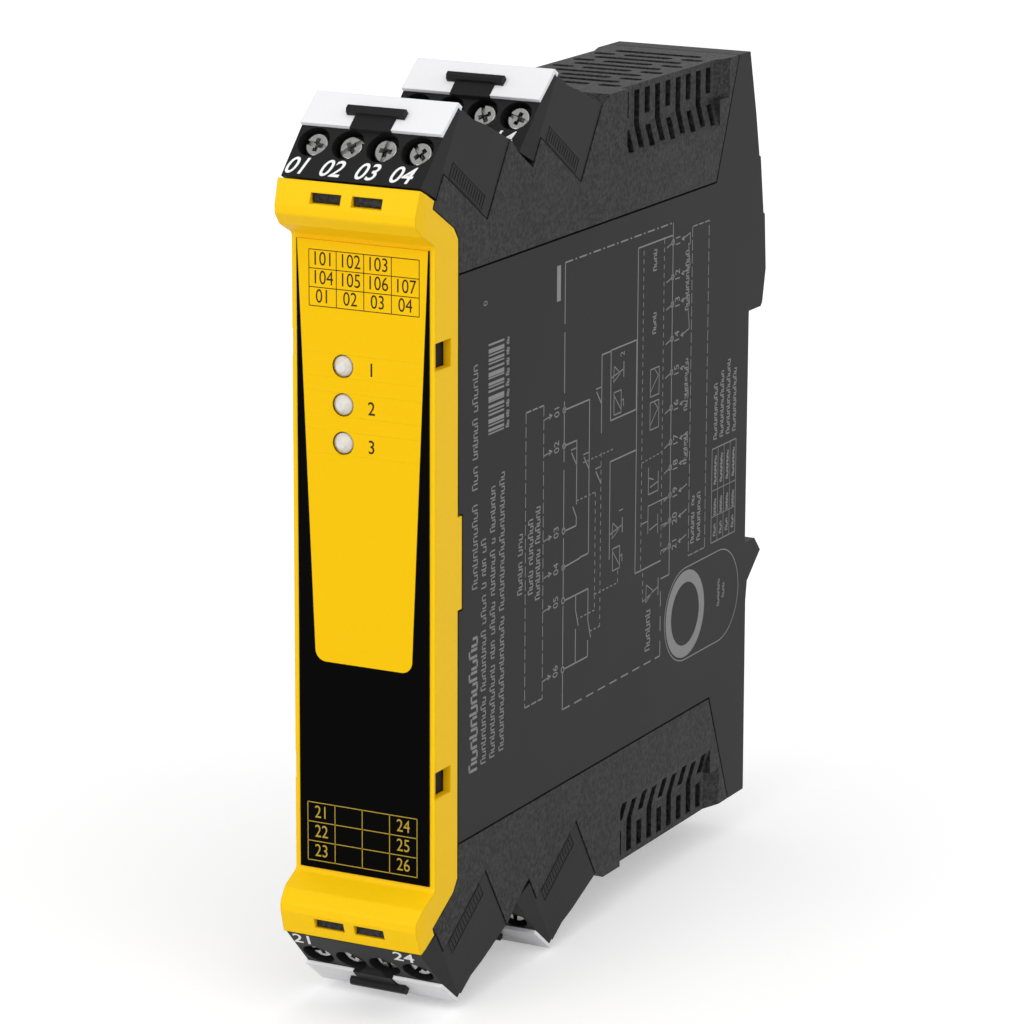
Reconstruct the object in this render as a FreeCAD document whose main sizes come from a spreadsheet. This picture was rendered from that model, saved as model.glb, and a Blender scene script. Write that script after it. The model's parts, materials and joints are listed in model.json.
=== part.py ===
import FreeCAD, Part
import math
import os
import Sketcher
from types import SimpleNamespace

# Safety relay in a narrow housing for a 35 mm top-hat rail, millimetres.
# X runs across the module, Y from the operator (-) to the rail (+), Z up.
# The origin is the middle of the rail seat.

SIZES = [
    # housing outline, seen from the side
    ("module_width", 22.5, "overall width"),
    ("tower_height", 119.2, "height of the rear towers, top to bottom"),
    ("wing_plane", 96.0, "seat to the edge where the front cover meets the housing"),
    ("seam_height", 41.0, "middle to the seam between shell and terminal block"),
    ("seam_gap", 0.30, "width of the seam groove"),
    ("shell_gap", 0.10, "seam between the two shells"),
    ("wall", 1.5, "housing wall"),
    ("seam_knee", 12.7, "seat to the knee of the seam"),
    ("seam_end", 5.0, "seat to the rear end of the seam"),
    ("rear_top", 1.0, "seat plane back to the top rear edge"),
    ("hook_depth", 6.1, "how far the hook nose stands behind the seat"),
    ("hook_nose_height", 24.5, "height of the nose crest"),
    ("recess_height", 37.4, "rail recess between the side walls"),
    # rail and latching
    ("rail_height", 35.0, "top-hat rail, flange tip to flange tip"),
    ("rail_flange", 1.0, "thickness of the rail flange"),
    ("rail_play", 0.25, "clearance round the rail flange"),
    ("lip_reach", 1.1, "how far hook and latch reach over the flange"),
    ("lip_depth", 2.2, "thickness of the lip behind the flange"),
    ("hook_width", 16.0, "width of the fixed hook"),
    ("foot_width", 10.0, "width of the sliding foot"),
    ("foot_depth", 4.4, "thickness of the sliding foot"),
    ("foot_play", 0.20, "running clearance round the foot"),
    ("foot_travel", 3.0, "way the foot is pulled down"),
    ("foot_overhang", 2.4, "foot below the housing, for the screwdriver"),
    ("spring_radius", 1.5, "half width of the foot spring"),
    ("spring_strip", 1.1, "strip of the foot spring, measured across the foot"),
    ("spring_width", 2.4, "depth of that strip"),
    ("spring_length", 9.0, "fitted length of the foot spring"),
    ("spring_turns", 5.0, "turns of the foot spring"),
    # plug seats in the terminal blocks; p runs out of the seat, q across it
    ("plug_tilt", 33.0, "slope of the plugging direction"),
    ("tip_depth", 87.5, "seat plane to the inner corner of the front plug seat"),
    ("tip_height", 47.2, "height of that corner"),
    ("row_depth", 28.8, "front plug row to rear plug row, in depth"),
    ("row_rise", 0.8, "the same, in height"),
    ("seat_length", 15.2, "length of the seat floor"),
    ("seat_back", 12.4, "height of the seat's back wall"),
    ("seat_drop", 4.0, "depth of the channel under the seat floor"),
    ("plug_play", 0.20, "clearance round a plug"),
    ("plug_overlap", 4.0, "plug head in front of the seat floor"),
    # plugs
    ("plug_width", 22.3, "width over the cheeks"),
    ("head_width", 21.4, "width of the screw face"),
    ("head_skirt", 0.5, "how far the screw face drops below the plug's underside"),
    ("crest_height", 9.4, "crest of the plug above the seat floor"),
    ("face_lean", 8.0, "lean of the screw face"),
    ("pole_pitch", 5.4, "distance between poles"),
    ("poles", 4.0, "poles of one plug"),
    ("screw_level", 1.8, "screw axis above the seat floor"),
    ("screw_hole", 4.7, "diameter of the screwdriver hole"),
    ("screw_head", 3.4, "diameter of the screw head"),
    ("head_height", 1.6, "height of the screw head"),
    ("shank_size", 2.4, "diameter of the screw shank"),
    ("screw_slot", 0.6, "width of the screw slot"),
    ("slot_depth", 0.8, "depth of the screw slot"),
    ("thread_play", 0.06, "clearance round the shank"),
    ("shoulder", 15.8, "shoulder that the screw head turns on"),
    ("cage_width", 4.2, "clamp cage, across"),
    ("cage_height", 2.6, "clamp cage, along the wire"),
    ("cage_length", 7.3, "clamp cage, along the screw"),
    ("cage_wall", 0.6, "side of the cage"),
    ("cage_end", 1.1, "end of the cage"),
    ("cage_travel", 2.0, "way a cage rises"),
    ("cage_play", 0.12, "running clearance round a cage"),
    ("bar_level", 10.2, "busbar in front of the plug's back"),
    ("bar_size", 0.8, "thickness of the busbar"),
    ("contact_width", 1.6, "width of a contact"),
    ("contact_height", 2.2, "height of the contact's fork"),
    ("pin_size", 0.8, "square header pin"),
    ("pin_level", 1.9, "pin axis below the seat floor"),
    ("pin_reach", 7.5, "pin in front of the header"),
    ("pin_tail", 2.4, "pin behind the header"),
    ("pin_play", 0.10, "clearance round a pin in its contact"),
    ("header_depth", 3.2, "thickness of the header"),
    ("wire_width", 3.0, "wire hole, across"),
    ("wire_mouth", 3.8, "mouth of the wire hole"),
    # marker plates and their hooks
    ("plate_length", 6.1, "marker plate, front to rear edge"),
    ("plate_thickness", 0.55, "marker plate"),
    ("plate_lean", 19.5, "lean of the marker plate to the screw face"),
    ("plate_lip", 1.3, "rear lip of the plate"),
    ("lip_height", 0.7, "thickness of that lip"),
    ("plate_width", 22.1, "width of the plate"),
    ("plate_play", 0.05, "clearance under and beside the plate"),
    ("hook_neck", 6.2, "width of the hook's neck"),
    ("hook_head", 9.0, "width of the hook's head"),
    ("hook_bar", 1.3, "length of the hook's head"),
    ("hook_start", 2.0, "front edge of the plate to the hook's head"),
    ("hook_rise", 1.1, "thickness of the hook's head"),
    # vents of the towers
    ("vent_start", 42.1, "seat to the first vent"),
    ("vent_pitch", 3.52, "distance between vents"),
    ("vent_width", 1.7, "width of a vent"),
    ("vent_rows", 10.0, "rows of vents on top"),
    ("side_vents", 9.0, "vents in each side"),
    ("vent_foot", 49.9, "height of the lower end of the side vents"),
    ("recess_knee", 53.6, "height where the side recess is full depth"),
    ("recess_depth", 1.1, "depth of the side recess"),
    ("vent_short", 3.6, "short vent on top"),
    ("vent_middle", 8.2, "middle vent on top"),
    ("vent_long", 14.6, "long vent on top"),
    ("tower_front", 49.6, "seat to the front edge of the tower top"),
    # front cover
    ("cover_face", 102.7, "seat to the label face"),
    ("cover_front", 107.8, "seat to the crest of the brow"),
    ("cover_wall", 1.2, "wall of the cover"),
    ("cover_play", 0.30, "clearance between cover and housing"),
    ("face_end", 46.0, "half height of the label face"),
    ("brow_crest", 50.2, "height of the brow's crest"),
    ("brow_top", 54.25, "height of the brow's top edge"),
    ("brow_draft", 0.3, "how far the brow's ends are drawn in at the crest"),
    ("brow_draft_depth", 2.2, "depth over which they are drawn in"),
    ("slot_width", 4.75, "slot in the brow"),
    ("slot_height", 1.45, "the same, in height"),
    ("slot_inset", 0.85, "slot to the middle"),
    ("slot_level", 52.0, "height of the slots"),
    ("window_height", 3.9, "window in the wing"),
    ("window_length", 3.2, "the same, along the wing"),
    ("window_level", 30.6, "height of the window"),
    ("tab_height", 13.4, "tab behind the wing"),
    ("tab_length", 1.2, "the same, rearwards"),
    ("corner_round", 0.8, "rounding of the cover"),
    ("nose_depth", 4.9, "housing nose inside the cover"),
    # label and lamps
    ("label_width", 20.8, "front label"),
    ("label_height", 90.8, "front label"),
    ("label_thickness", 0.25, "front label"),
    ("lamp_size", 3.0, "diameter of a lamp"),
    ("lamp_play", 0.15, "clearance round a lamp"),
    ("lamp_side", -3.1, "lamps beside the middle"),
    ("lamp_top", 28.0, "height of the top lamp"),
    ("lamp_pitch", 5.45, "distance between lamps"),
    ("lamps", 3.0, "number of lamps"),
    # inside
    ("board_thickness", 1.6, "circuit board"),
    ("board_standoff", 1.2, "board above the shell wall"),
    ("boss_size", 4.0, "diameter of the bosses under the board"),
    ("relay_height", 15.2, "relay above the board"),
    ("relay_width", 13.0, "relay, front to rear"),
    ("relay_length", 40.0, "relay, top to bottom"),
    ("relay_pitch", 18.0, "distance between the relays"),
    ("capacitor_size", 8.0, "diameter of a capacitor"),
    ("capacitor_height", 11.5, "height of a capacitor"),
]


class Size:
    """A size that knows its value and the sheet expression it comes from."""

    def __init__(self, value, text):
        self.value = value
        self.text = text

    def __add__(self, other):
        other = as_size(other)
        return Size(self.value + other.value, f"({self.text} + {other.text})")

    def __sub__(self, other):
        other = as_size(other)
        return Size(self.value - other.value, f"({self.text} - {other.text})")

    def __mul__(self, other):
        other = as_size(other)
        return Size(self.value * other.value, f"({self.text} * {other.text})")

    def __truediv__(self, other):
        other = as_size(other)
        return Size(self.value / other.value, f"({self.text} / {other.text})")

    def __neg__(self):
        return Size(-self.value, f"(0 - {self.text})")

    def __radd__(self, other):
        return as_size(other) + self

    def __rsub__(self, other):
        return as_size(other) - self

    __rmul__ = __mul__


def as_size(number):
    """A plain number as a Size."""
    return number if isinstance(number, Size) else Size(float(number), f"{number:g}")


def sine(angle):
    return Size(math.sin(math.radians(angle.value)), f"sin({angle.text})")


def cosine(angle):
    return Size(math.cos(math.radians(angle.value)), f"cos({angle.text})")


doc = FreeCAD.newDocument("SafetyRelay")
sheet = doc.addObject("Spreadsheet::Sheet", "Dims")
for row, (alias, value, note) in enumerate(SIZES, start=1):
    sheet.set(f"A{row}", f"{value:g}")
    sheet.set(f"B{row}", note)
    sheet.setAlias(f"A{row}", alias)
doc.recompute()
d = SimpleNamespace(**{alias: Size(value, f"Dims.{alias}") for alias, value, note in SIZES})

half_width = d.module_width / 2
tower_top = d.tower_height / 2
window_top = 26 - tower_top
window_bottom = 12 - tower_top
parts = []


# ---------------------------------------------------------------- sketch and feature helpers


def new_body(name):
    """A body whose label is its node name; it is exported at the end."""
    body = doc.addObject("PartDesign::Body", name)
    body.Label = name
    parts.append(body)
    return body


def new_sketch(body, plane, level=0):
    """A sketch on one of the body's own planes, moved along the plane's normal by level."""
    sketch = body.newObject("Sketcher::SketchObject", body.Name + "_sketch")
    origin_plane = [f for f in body.Origin.OriginFeatures if f.Role == plane + "_Plane"][0]
    sketch.AttachmentSupport = [(origin_plane, "")]
    sketch.MapMode = "FlatFace"
    sketch.setExpression("AttachmentOffset.Base.z", as_size(level).text)
    return sketch


def pin_point(sketch, geometry, end, point):
    """Holds a sketch point at its two sizes, measured from the sketch origin."""
    for kind, size in zip(("DistanceX", "DistanceY"), point):
        size = as_size(size)
        index = sketch.addConstraint(
            Sketcher.Constraint(kind, -1, 1, geometry, end, size.value)
        )
        sketch.setExpression(f"Constraints[{index}]", size.text)


def add_polygon(sketch, points):
    """A closed outline of straight edges through the points."""
    corners = [FreeCAD.Vector(as_size(a).value, as_size(b).value, 0) for a, b in points]
    first = sketch.GeometryCount
    count = len(corners)
    for i in range(count):
        sketch.addGeometry(Part.LineSegment(corners[i], corners[(i + 1) % count]))
    for i in range(count):
        following = first + (i + 1) % count
        sketch.addConstraint(Sketcher.Constraint("Coincident", first + i, 2, following, 1))
    for i, point in enumerate(points):
        pin_point(sketch, first + i, 1, point)


def add_rectangle(sketch, low, high):
    """A rectangle from its low corner to its high corner."""
    add_polygon(sketch, [low, (high[0], low[1]), high, (low[0], high[1])])


def add_circle(sketch, centre, diameter):
    """A circle held at its centre."""
    diameter = as_size(diameter)
    place = FreeCAD.Vector(as_size(centre[0]).value, as_size(centre[1]).value, 0)
    index = sketch.addGeometry(Part.Circle(place, FreeCAD.Vector(0, 0, 1), diameter.value / 2))
    pin_point(sketch, index, 3, centre)
    datum = sketch.addConstraint(Sketcher.Constraint("Diameter", index, diameter.value))
    sketch.setExpression(f"Constraints[{datum}]", diameter.text)


def add_ring(sketch, centre, across, sides):
    """A regular outline with an even number of sides, measured across its flats."""
    turn = math.pi / sides
    radius = as_size(across) / 2 / cosine(as_size(math.degrees(turn)))
    points = []
    for i in range(sides):
        angle = as_size(math.degrees(turn * (2 * i + 1)))
        points.append((centre[0] + radius * cosine(angle), centre[1] + radius * sine(angle)))
    add_polygon(sketch, points)


def add_vent(sketch, centre, length, width):
    """A slot with chamfered ends, lying along the sketch's first axis."""
    x, y = centre
    far, half = length / 2, width / 2
    near, low = far - width * 0.3, half * 0.4
    add_polygon(
        sketch,
        [
            (x - far, y - low),
            (x - near, y - half),
            (x + near, y - half),
            (x + far, y - low),
            (x + far, y + low),
            (x + near, y + half),
            (x - near, y + half),
            (x - far, y + low),
        ],
    )


def pad(body, sketch, length, centred=False, backwards=False):
    """Adds material from a sketch."""
    feature = body.newObject("PartDesign::Pad", body.Name + "_pad")
    feature.Profile = sketch
    feature.Midplane = centred
    feature.Reversed = backwards
    feature.setExpression("Length", as_size(length).text)
    return feature


def pocket(body, sketch, length, centred=False, backwards=False):
    """Removes material behind a sketch, or in front of it when backwards."""
    feature = body.newObject("PartDesign::Pocket", body.Name + "_pocket")
    feature.Profile = sketch
    feature.Midplane = centred
    feature.Reversed = backwards
    feature.setExpression("Length", as_size(length).text)
    return feature


def repeat(body, feature, axis, offset, count):
    """Repeats a feature along one axis of its own sketch."""
    pattern = body.newObject("PartDesign::LinearPattern", body.Name + "_pattern")
    pattern.Originals = [feature]
    pattern.Direction = (feature.Profile[0], [axis])
    pattern.Mode = "Spacing"
    pattern.setExpression("Offset", as_size(offset).text)
    pattern.setExpression("Occurrences", as_size(count).text)
    body.Tip = pattern
    return pattern


def edges_along_x(shape, places):
    """Names of the edges that run along X through the given (Y, Z) places."""
    wanted = [(as_size(y).value, as_size(z).value) for y, z in places]
    names = []
    for number, edge in enumerate(shape.Edges, start=1):
        box = edge.BoundBox
        if box.YLength > 0.01 or box.ZLength > 0.01:
            continue
        if any(math.hypot(box.YMin - y, box.ZMin - z) < 0.05 for y, z in wanted):
            names.append(f"Edge{number}")
    return names


def fillet(body, feature, names, radius):
    """Rounds named edges of a feature."""
    doc.recompute()
    rounding = body.newObject("PartDesign::Fillet", body.Name + "_fillet")
    rounding.Base = (feature, names)
    rounding.setExpression("Radius", as_size(radius).text)
    return rounding


# ---------------------------------------------------------------- the tilted plug seats


rows = (as_size(0), as_size(1))


def tip(row):
    """Inner corner of a plug seat, as (Y, Z) on the upper side."""
    return (row * d.row_depth - d.tip_depth, row * d.row_rise + d.tip_height)


def seat_point(row, p, q):
    """A point p out of the seat and q above its floor, as (Y, Z) on the upper side."""
    y, z = tip(row)
    p, q = as_size(p), as_size(q)
    return (
        y - p * cosine(d.plug_tilt) + q * sine(d.plug_tilt),
        z + p * sine(d.plug_tilt) + q * cosine(d.plug_tilt),
    )


def place_in_seat(body, row, lower):
    """Puts a body drawn as (X, -p, q) into its seat; lower seats are turned about Y."""
    y, z = tip(row)
    turn = f"rotation(vector(1; 0; 0); -{d.plug_tilt.text})"
    if lower:
        turn = "rotation(vector(0; 1; 0); 180) * " + turn
        z = -z
    body.setExpression("Placement", f"placement(vector(0; {y.text}; {z.text}); {turn})")


def turn_over(body):
    """Turns a body about Y, from the upper to the lower side."""
    body.setExpression(
        "Placement", "placement(vector(0; 0; 0); rotation(vector(0; 1; 0); 180))"
    )


pole_places = [
    (as_size(i) - (d.poles - 1) / 2) * d.pole_pitch for i in range(int(d.poles.value))
]
cage_low = d.bar_level - d.cage_end - 3.4
shank_hole = d.shank_size + d.thread_play * 2


# ---------------------------------------------------------------- housing shells


def shell_outline():
    """Side view of the shells, from the cover to the rail, as (Y, Z)."""
    front = -d.wing_plane + d.cover_play / 2
    edge = d.seam_height - d.seam_gap / 2
    knee = -d.seam_knee + d.seam_gap / 2
    end = -d.seam_end + d.seam_gap / 2
    recess = d.recess_height / 2
    notch = d.tab_height / 2 + d.cover_play
    upper = [
        (front + d.tab_length, notch),
        (front, notch),
        (front, edge),
        (knee, edge),
        (end, tower_top),
        (-d.rear_top, tower_top),
        (d.hook_depth - 4.5, d.hook_nose_height + 25),
        (d.hook_depth - 3.1, d.hook_nose_height + 18.3),
        (d.hook_depth - 3.1 + 0.5, d.hook_nose_height + 18.1),
        (d.hook_depth - 1.2, d.hook_nose_height + 9),
        (d.hook_depth - 1.2 + 0.5, d.hook_nose_height + 8.8),
        (d.hook_depth, d.hook_nose_height),
        (d.hook_depth - 1.1, recess + 0.6),
        (d.hook_depth - 1.7, recess),
        (0, recess),
    ]
    lower = [
        (0, -recess),
        (d.hook_depth - 2.5, -recess),
        (d.hook_depth - 0.3, -recess - 2.4),
        (d.hook_depth - 5.1, -recess - 6.4),
        (d.hook_depth - 5.6, -recess - 9.6),
        (d.hook_depth - 5.3, -tower_top),
        (end, -tower_top),
        (knee, -edge),
        (front, -edge),
        (front, -notch),
        (front + d.tab_length, -notch),
    ]
    return upper + lower


def make_shell(name, left):
    """One moulded side shell: smooth wall, half of the rail seat, hook and foot channel."""
    body = new_body(name)
    gap = d.shell_gap / 2
    inner_front = -d.wing_plane + d.wall + d.tab_length + d.cover_play
    nose_front = -d.wing_plane - d.nose_depth
    nose_edge = d.seam_height - d.seam_gap / 2
    nose_half = half_width - d.cover_wall - d.cover_play / 2
    start = -gap if left else gap

    def half_pad(points, half_length):
        sketch = new_sketch(body, "YZ", start)
        add_polygon(sketch, points)
        return pad(body, sketch, half_length - gap, backwards=left)

    def half_pocket(points, half_length):
        sketch = new_sketch(body, "YZ", start)
        add_polygon(sketch, points)
        return pocket(body, sketch, half_length - gap, backwards=not left)

    half_pad(shell_outline(), half_width)
    front = -d.wing_plane + d.cover_play / 2
    half_pad(
        [
            (nose_front, -nose_edge),
            (front + d.wall, -nose_edge),
            (front + d.wall, nose_edge),
            (nose_front, nose_edge),
        ],
        nose_half,
    )
    shoulder = d.rail_height / 2 + d.rail_play
    lip_end = d.rail_height / 2 - d.lip_reach
    lip_front = d.rail_flange + d.rail_play
    half_pad(
        [
            (-d.wall, d.recess_height / 2 + 0.4),
            (-d.wall, shoulder),
            (lip_front, shoulder),
            (lip_front, lip_end),
            (lip_front + d.lip_depth, lip_end),
            (lip_front + d.lip_depth + 0.8, d.recess_height / 2 + 0.4),
        ],
        d.hook_width / 2,
    )
    back = -d.wall
    channel = -d.foot_depth - d.foot_play * 2 - d.wall * 2
    half_pocket(
        [
            (inner_front, -nose_edge - 1),
            (inner_front, nose_edge + 1),
            (-d.seam_knee - 0.6, nose_edge + 1),
            (-d.seam_end - 1.2, tower_top - d.wall),
            (-d.rear_top - d.wall - 0.6, tower_top - d.wall),
            (back, d.hook_nose_height + 18),
            (back, -d.rail_height / 2 + d.wall * 3),
            (channel, -d.rail_height / 2 + d.wall * 3),
            (channel, -nose_edge - 1),
        ],
        half_width - d.wall,
    )
    half_pocket(
        [
            (nose_front + d.wall, -nose_edge - 1),
            (inner_front + 0.1, -nose_edge - 1),
            (inner_front + 0.1, nose_edge + 1),
            (nose_front + d.wall, nose_edge + 1),
        ],
        nose_half - d.cover_wall,
    )
    foot_room = d.foot_width / 2 + d.foot_play
    half_pocket(
        [
            (-d.foot_depth - d.foot_play * 2 - d.foot_play, -tower_top - 1),
            (d.hook_depth + 1, -tower_top - 1),
            (d.hook_depth + 1, -shoulder + d.foot_play),
            (-d.foot_depth - d.foot_play * 2 - d.foot_play, -shoulder + d.foot_play),
        ],
        foot_room,
    )
    peg_back = -d.foot_depth - d.foot_play * 3 - 0.3
    peg_top = window_top - d.spring_length - d.foot_play
    half_pad(
        [
            (peg_back, peg_top - d.wall),
            (-d.foot_play * 3, peg_top - d.wall),
            (-d.foot_play * 3, peg_top),
            (peg_back, peg_top),
        ],
        d.spring_radius,
    )
    if left:
        sketch = new_sketch(body, "YZ", -half_width + d.wall - 0.2)
        for depth in (-d.wing_plane + 7, -d.seam_knee - 8):
            for level in (d.seam_height - 8, 8 - d.seam_height):
                add_ring(sketch, (depth, level), d.boss_size, 8)
        pad(body, sketch, d.board_standoff + 0.2)
        sketch = new_sketch(body, "XZ", -nose_front)
        for i in range(int(d.lamps.value)):
            level = d.lamp_top - as_size(i) * d.lamp_pitch
            add_ring(sketch, (d.lamp_side, level), d.lamp_size + d.lamp_play * 2, 16)
        pocket(body, sketch, d.wall * 2)
    return body


# ---------------------------------------------------------------- terminal blocks


def block_outline():
    """Side view of the upper terminal block with its two plug seats, as (Y, Z)."""
    front = -d.wing_plane + d.cover_play / 2
    edge = d.seam_height + d.seam_gap / 2
    step = d.cover_play + 0.05
    outline = [
        (front, edge),
        (front, d.face_end),
        (cover_heel()[0] + step, cover_heel()[1]),
        (cover_notch()[0] + step, cover_notch()[1]),
        (cover_tail()[0] + step, cover_tail()[1]),
    ]
    for row in rows:
        drop = -d.seat_drop - row * d.head_skirt
        if row.value:
            outline.append(seat_point(row, d.seat_length + d.plug_overlap + 1, drop))
        outline += [
            seat_point(row, d.seat_length, drop),
            seat_point(row, d.seat_length, 0),
            seat_point(row, 0, 0),
            seat_point(row, 0, d.seat_back),
        ]
    outline += [
        (-d.tower_front, tower_top),
        (-d.seam_end - d.seam_gap / 2, tower_top),
        (-d.seam_knee - d.seam_gap / 2, edge),
    ]
    return outline


def make_terminal_block(name, lower):
    """Textured block with two plug seats in front and the ventilated tower behind."""
    body = new_body(name)
    sketch = new_sketch(body, "YZ")
    add_polygon(sketch, block_outline())
    pad(body, sketch, d.module_width, centred=True)

    nose_front = -d.wing_plane - d.nose_depth
    nose_half = half_width - d.cover_wall - d.cover_play / 2
    edge = d.seam_height + d.seam_gap / 2
    front = -d.wing_plane + d.cover_play / 2
    nose_top = cover_notch()[1] - 1.2
    sketch = new_sketch(body, "YZ")
    add_polygon(
        sketch,
        [
            (nose_front, edge),
            (front + d.wall, edge),
            (front + d.wall, nose_top),
            (nose_front, nose_top),
        ],
    )
    pad(body, sketch, nose_half * 2, centred=True)

    # channels under the seat floors, and the room behind them for the headers
    inside = half_width - d.wall
    for row in rows:
        sketch = new_sketch(body, "YZ")
        add_polygon(
            sketch,
            [
                seat_point(row, 0, -d.seat_drop),
                seat_point(row, d.seat_length + 1, -d.seat_drop),
                seat_point(row, d.seat_length + 1, 1),
                seat_point(row, 0, 1),
            ],
        )
        pocket(body, sketch, inside * 2, centred=True)
        rear = -d.header_depth
        sketch = new_sketch(body, "YZ")
        add_polygon(
            sketch,
            [
                seat_point(row, 0.1, -d.seat_drop),
                seat_point(row, 0.1, -0.2),
                seat_point(row, rear - 6, -0.2),
                seat_point(row, rear - 6, -d.seat_drop - 4),
                seat_point(row, rear, -d.seat_drop - 4),
                seat_point(row, rear, -d.seat_drop),
            ],
        )
        pocket(body, sketch, inside * 2, centred=True)

    # inside of the tower
    sketch = new_sketch(body, "YZ")
    add_polygon(
        sketch,
        [
            (-d.tower_front + d.wall, edge - 1),
            (-d.tower_front + d.wall, tower_top - d.wall),
            (-d.seam_end - d.wall - 1.5, tower_top - d.wall),
            (-d.seam_knee - d.wall - 1.5, edge - 1),
        ],
    )
    pocket(body, sketch, (inside - d.recess_depth) * 2, centred=True)

    # scooped recess in each side, round the vents
    recess_x = half_width - d.recess_depth
    recess_front = -d.vent_start - d.vent_pitch * 0.5
    recess_rear = -d.vent_start + d.vent_pitch * (d.side_vents - 0.4)
    for side in (1, -1):
        sketch = new_sketch(body, "XZ", -recess_front)
        add_polygon(
            sketch,
            [
                (half_width * side, d.vent_foot - 0.4),
                (recess_x * side, d.recess_knee),
                (recess_x * side, tower_top + 1),
                ((half_width + 1) * side, tower_top + 1),
                ((half_width + 1) * side, d.vent_foot - 0.4),
            ],
        )
        pocket(body, sketch, recess_rear - recess_front)
        sketch = new_sketch(body, "XY", d.recess_knee)
        add_polygon(
            sketch,
            [
                (recess_x * side, recess_rear - 0.1),
                ((half_width + 1) * side, recess_rear - 0.1),
                ((half_width + 1) * side, recess_rear + 3.4),
                (half_width * side, recess_rear + 3.4),
            ],
        )
        pocket(body, sketch, tower_top - d.recess_knee + 1, backwards=True)

    # vents on top: rows of three, and single long ones between them
    level = tower_top + 0.5
    sketch = new_sketch(body, "XY", level)
    row_y = -d.vent_start
    offset = (d.vent_middle + d.vent_short) / 2 + 1.5
    add_vent(sketch, (-offset, row_y), d.vent_short, d.vent_width)
    add_vent(sketch, (as_size(0), row_y), d.vent_middle, d.vent_width)
    add_vent(sketch, (offset, row_y), d.vent_short, d.vent_width)
    three = pocket(body, sketch, d.wall + 1)
    repeat(body, three, "V_Axis", d.vent_pitch * 2, d.vent_rows / 2)
    sketch = new_sketch(body, "XY", level)
    add_vent(sketch, (as_size(0), row_y + d.vent_pitch), d.vent_long, d.vent_width)
    single = pocket(body, sketch, d.wall + 1)
    repeat(body, single, "V_Axis", d.vent_pitch * 2, d.vent_rows / 2)

    # vents through both sides: pairs, and single tall ones between them
    crown = tower_top - d.wall + 0.6
    web = d.recess_knee
    pair = new_sketch(body, "YZ")
    low_y, high_y = row_y - d.vent_width / 2, row_y + d.vent_width / 2
    add_rectangle(pair, (low_y, d.vent_foot), (high_y, web - 0.5))
    add_rectangle(pair, (low_y, web + 1.2), (high_y, crown))
    split = pocket(body, pair, d.module_width + 2, centred=True)
    repeat(body, split, "H_Axis", d.vent_pitch * 2, (d.side_vents + 1) / 2)
    tall = new_sketch(body, "YZ")
    add_rectangle(
        tall, (low_y + d.vent_pitch, d.vent_foot + 0.3), (high_y + d.vent_pitch, crown)
    )
    full = pocket(body, tall, d.module_width + 2, centred=True)
    repeat(body, full, "H_Axis", d.vent_pitch * 2, (d.side_vents - 1) / 2)

    # two tongues that snap into the slots of the front cover
    tongue_play = 0.12
    for side in (1, -1):
        start = d.slot_inset + tongue_play
        width = d.slot_width - tongue_play * 2
        sketch = new_sketch(body, "YZ", start * side)
        low = d.slot_level - d.slot_height / 2 + tongue_play
        high = d.slot_level + d.slot_height / 2 - tongue_play
        tongue_front = -d.cover_front + 1.0
        add_polygon(
            sketch,
            [
                (tongue_front, low),
                (tongue_front, high),
                (tongue_front + 3, high),
                (nose_front + 0.6, nose_top),
                (nose_front + 0.6, nose_top - 1.6),
                (nose_front - 1.5, nose_top - 1.6),
                (tongue_front + 1.2, low),
            ],
        )
        pad(body, sketch, width, backwards=side < 0)
    if lower:
        turn_over(body)
    return body


# ---------------------------------------------------------------- front cover and label


def cover_heel():
    """Where the wing starts to slope towards the brow, as (Y, Z)."""
    return (-d.wing_plane - 1.4, d.face_end + 1.7)


def cover_notch():
    """Inner corner behind the brow."""
    return (-d.cover_front + 4.3, d.brow_crest + 1.1)


def cover_tail():
    """Rear corner of the brow's top."""
    return (-d.cover_front + 4.8, d.brow_top - 1.9)


def mirrored(points):
    """An upper outline continued by its mirror image, in drawing order."""
    return points + [(y, -z) for y, z in reversed(points)]


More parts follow.
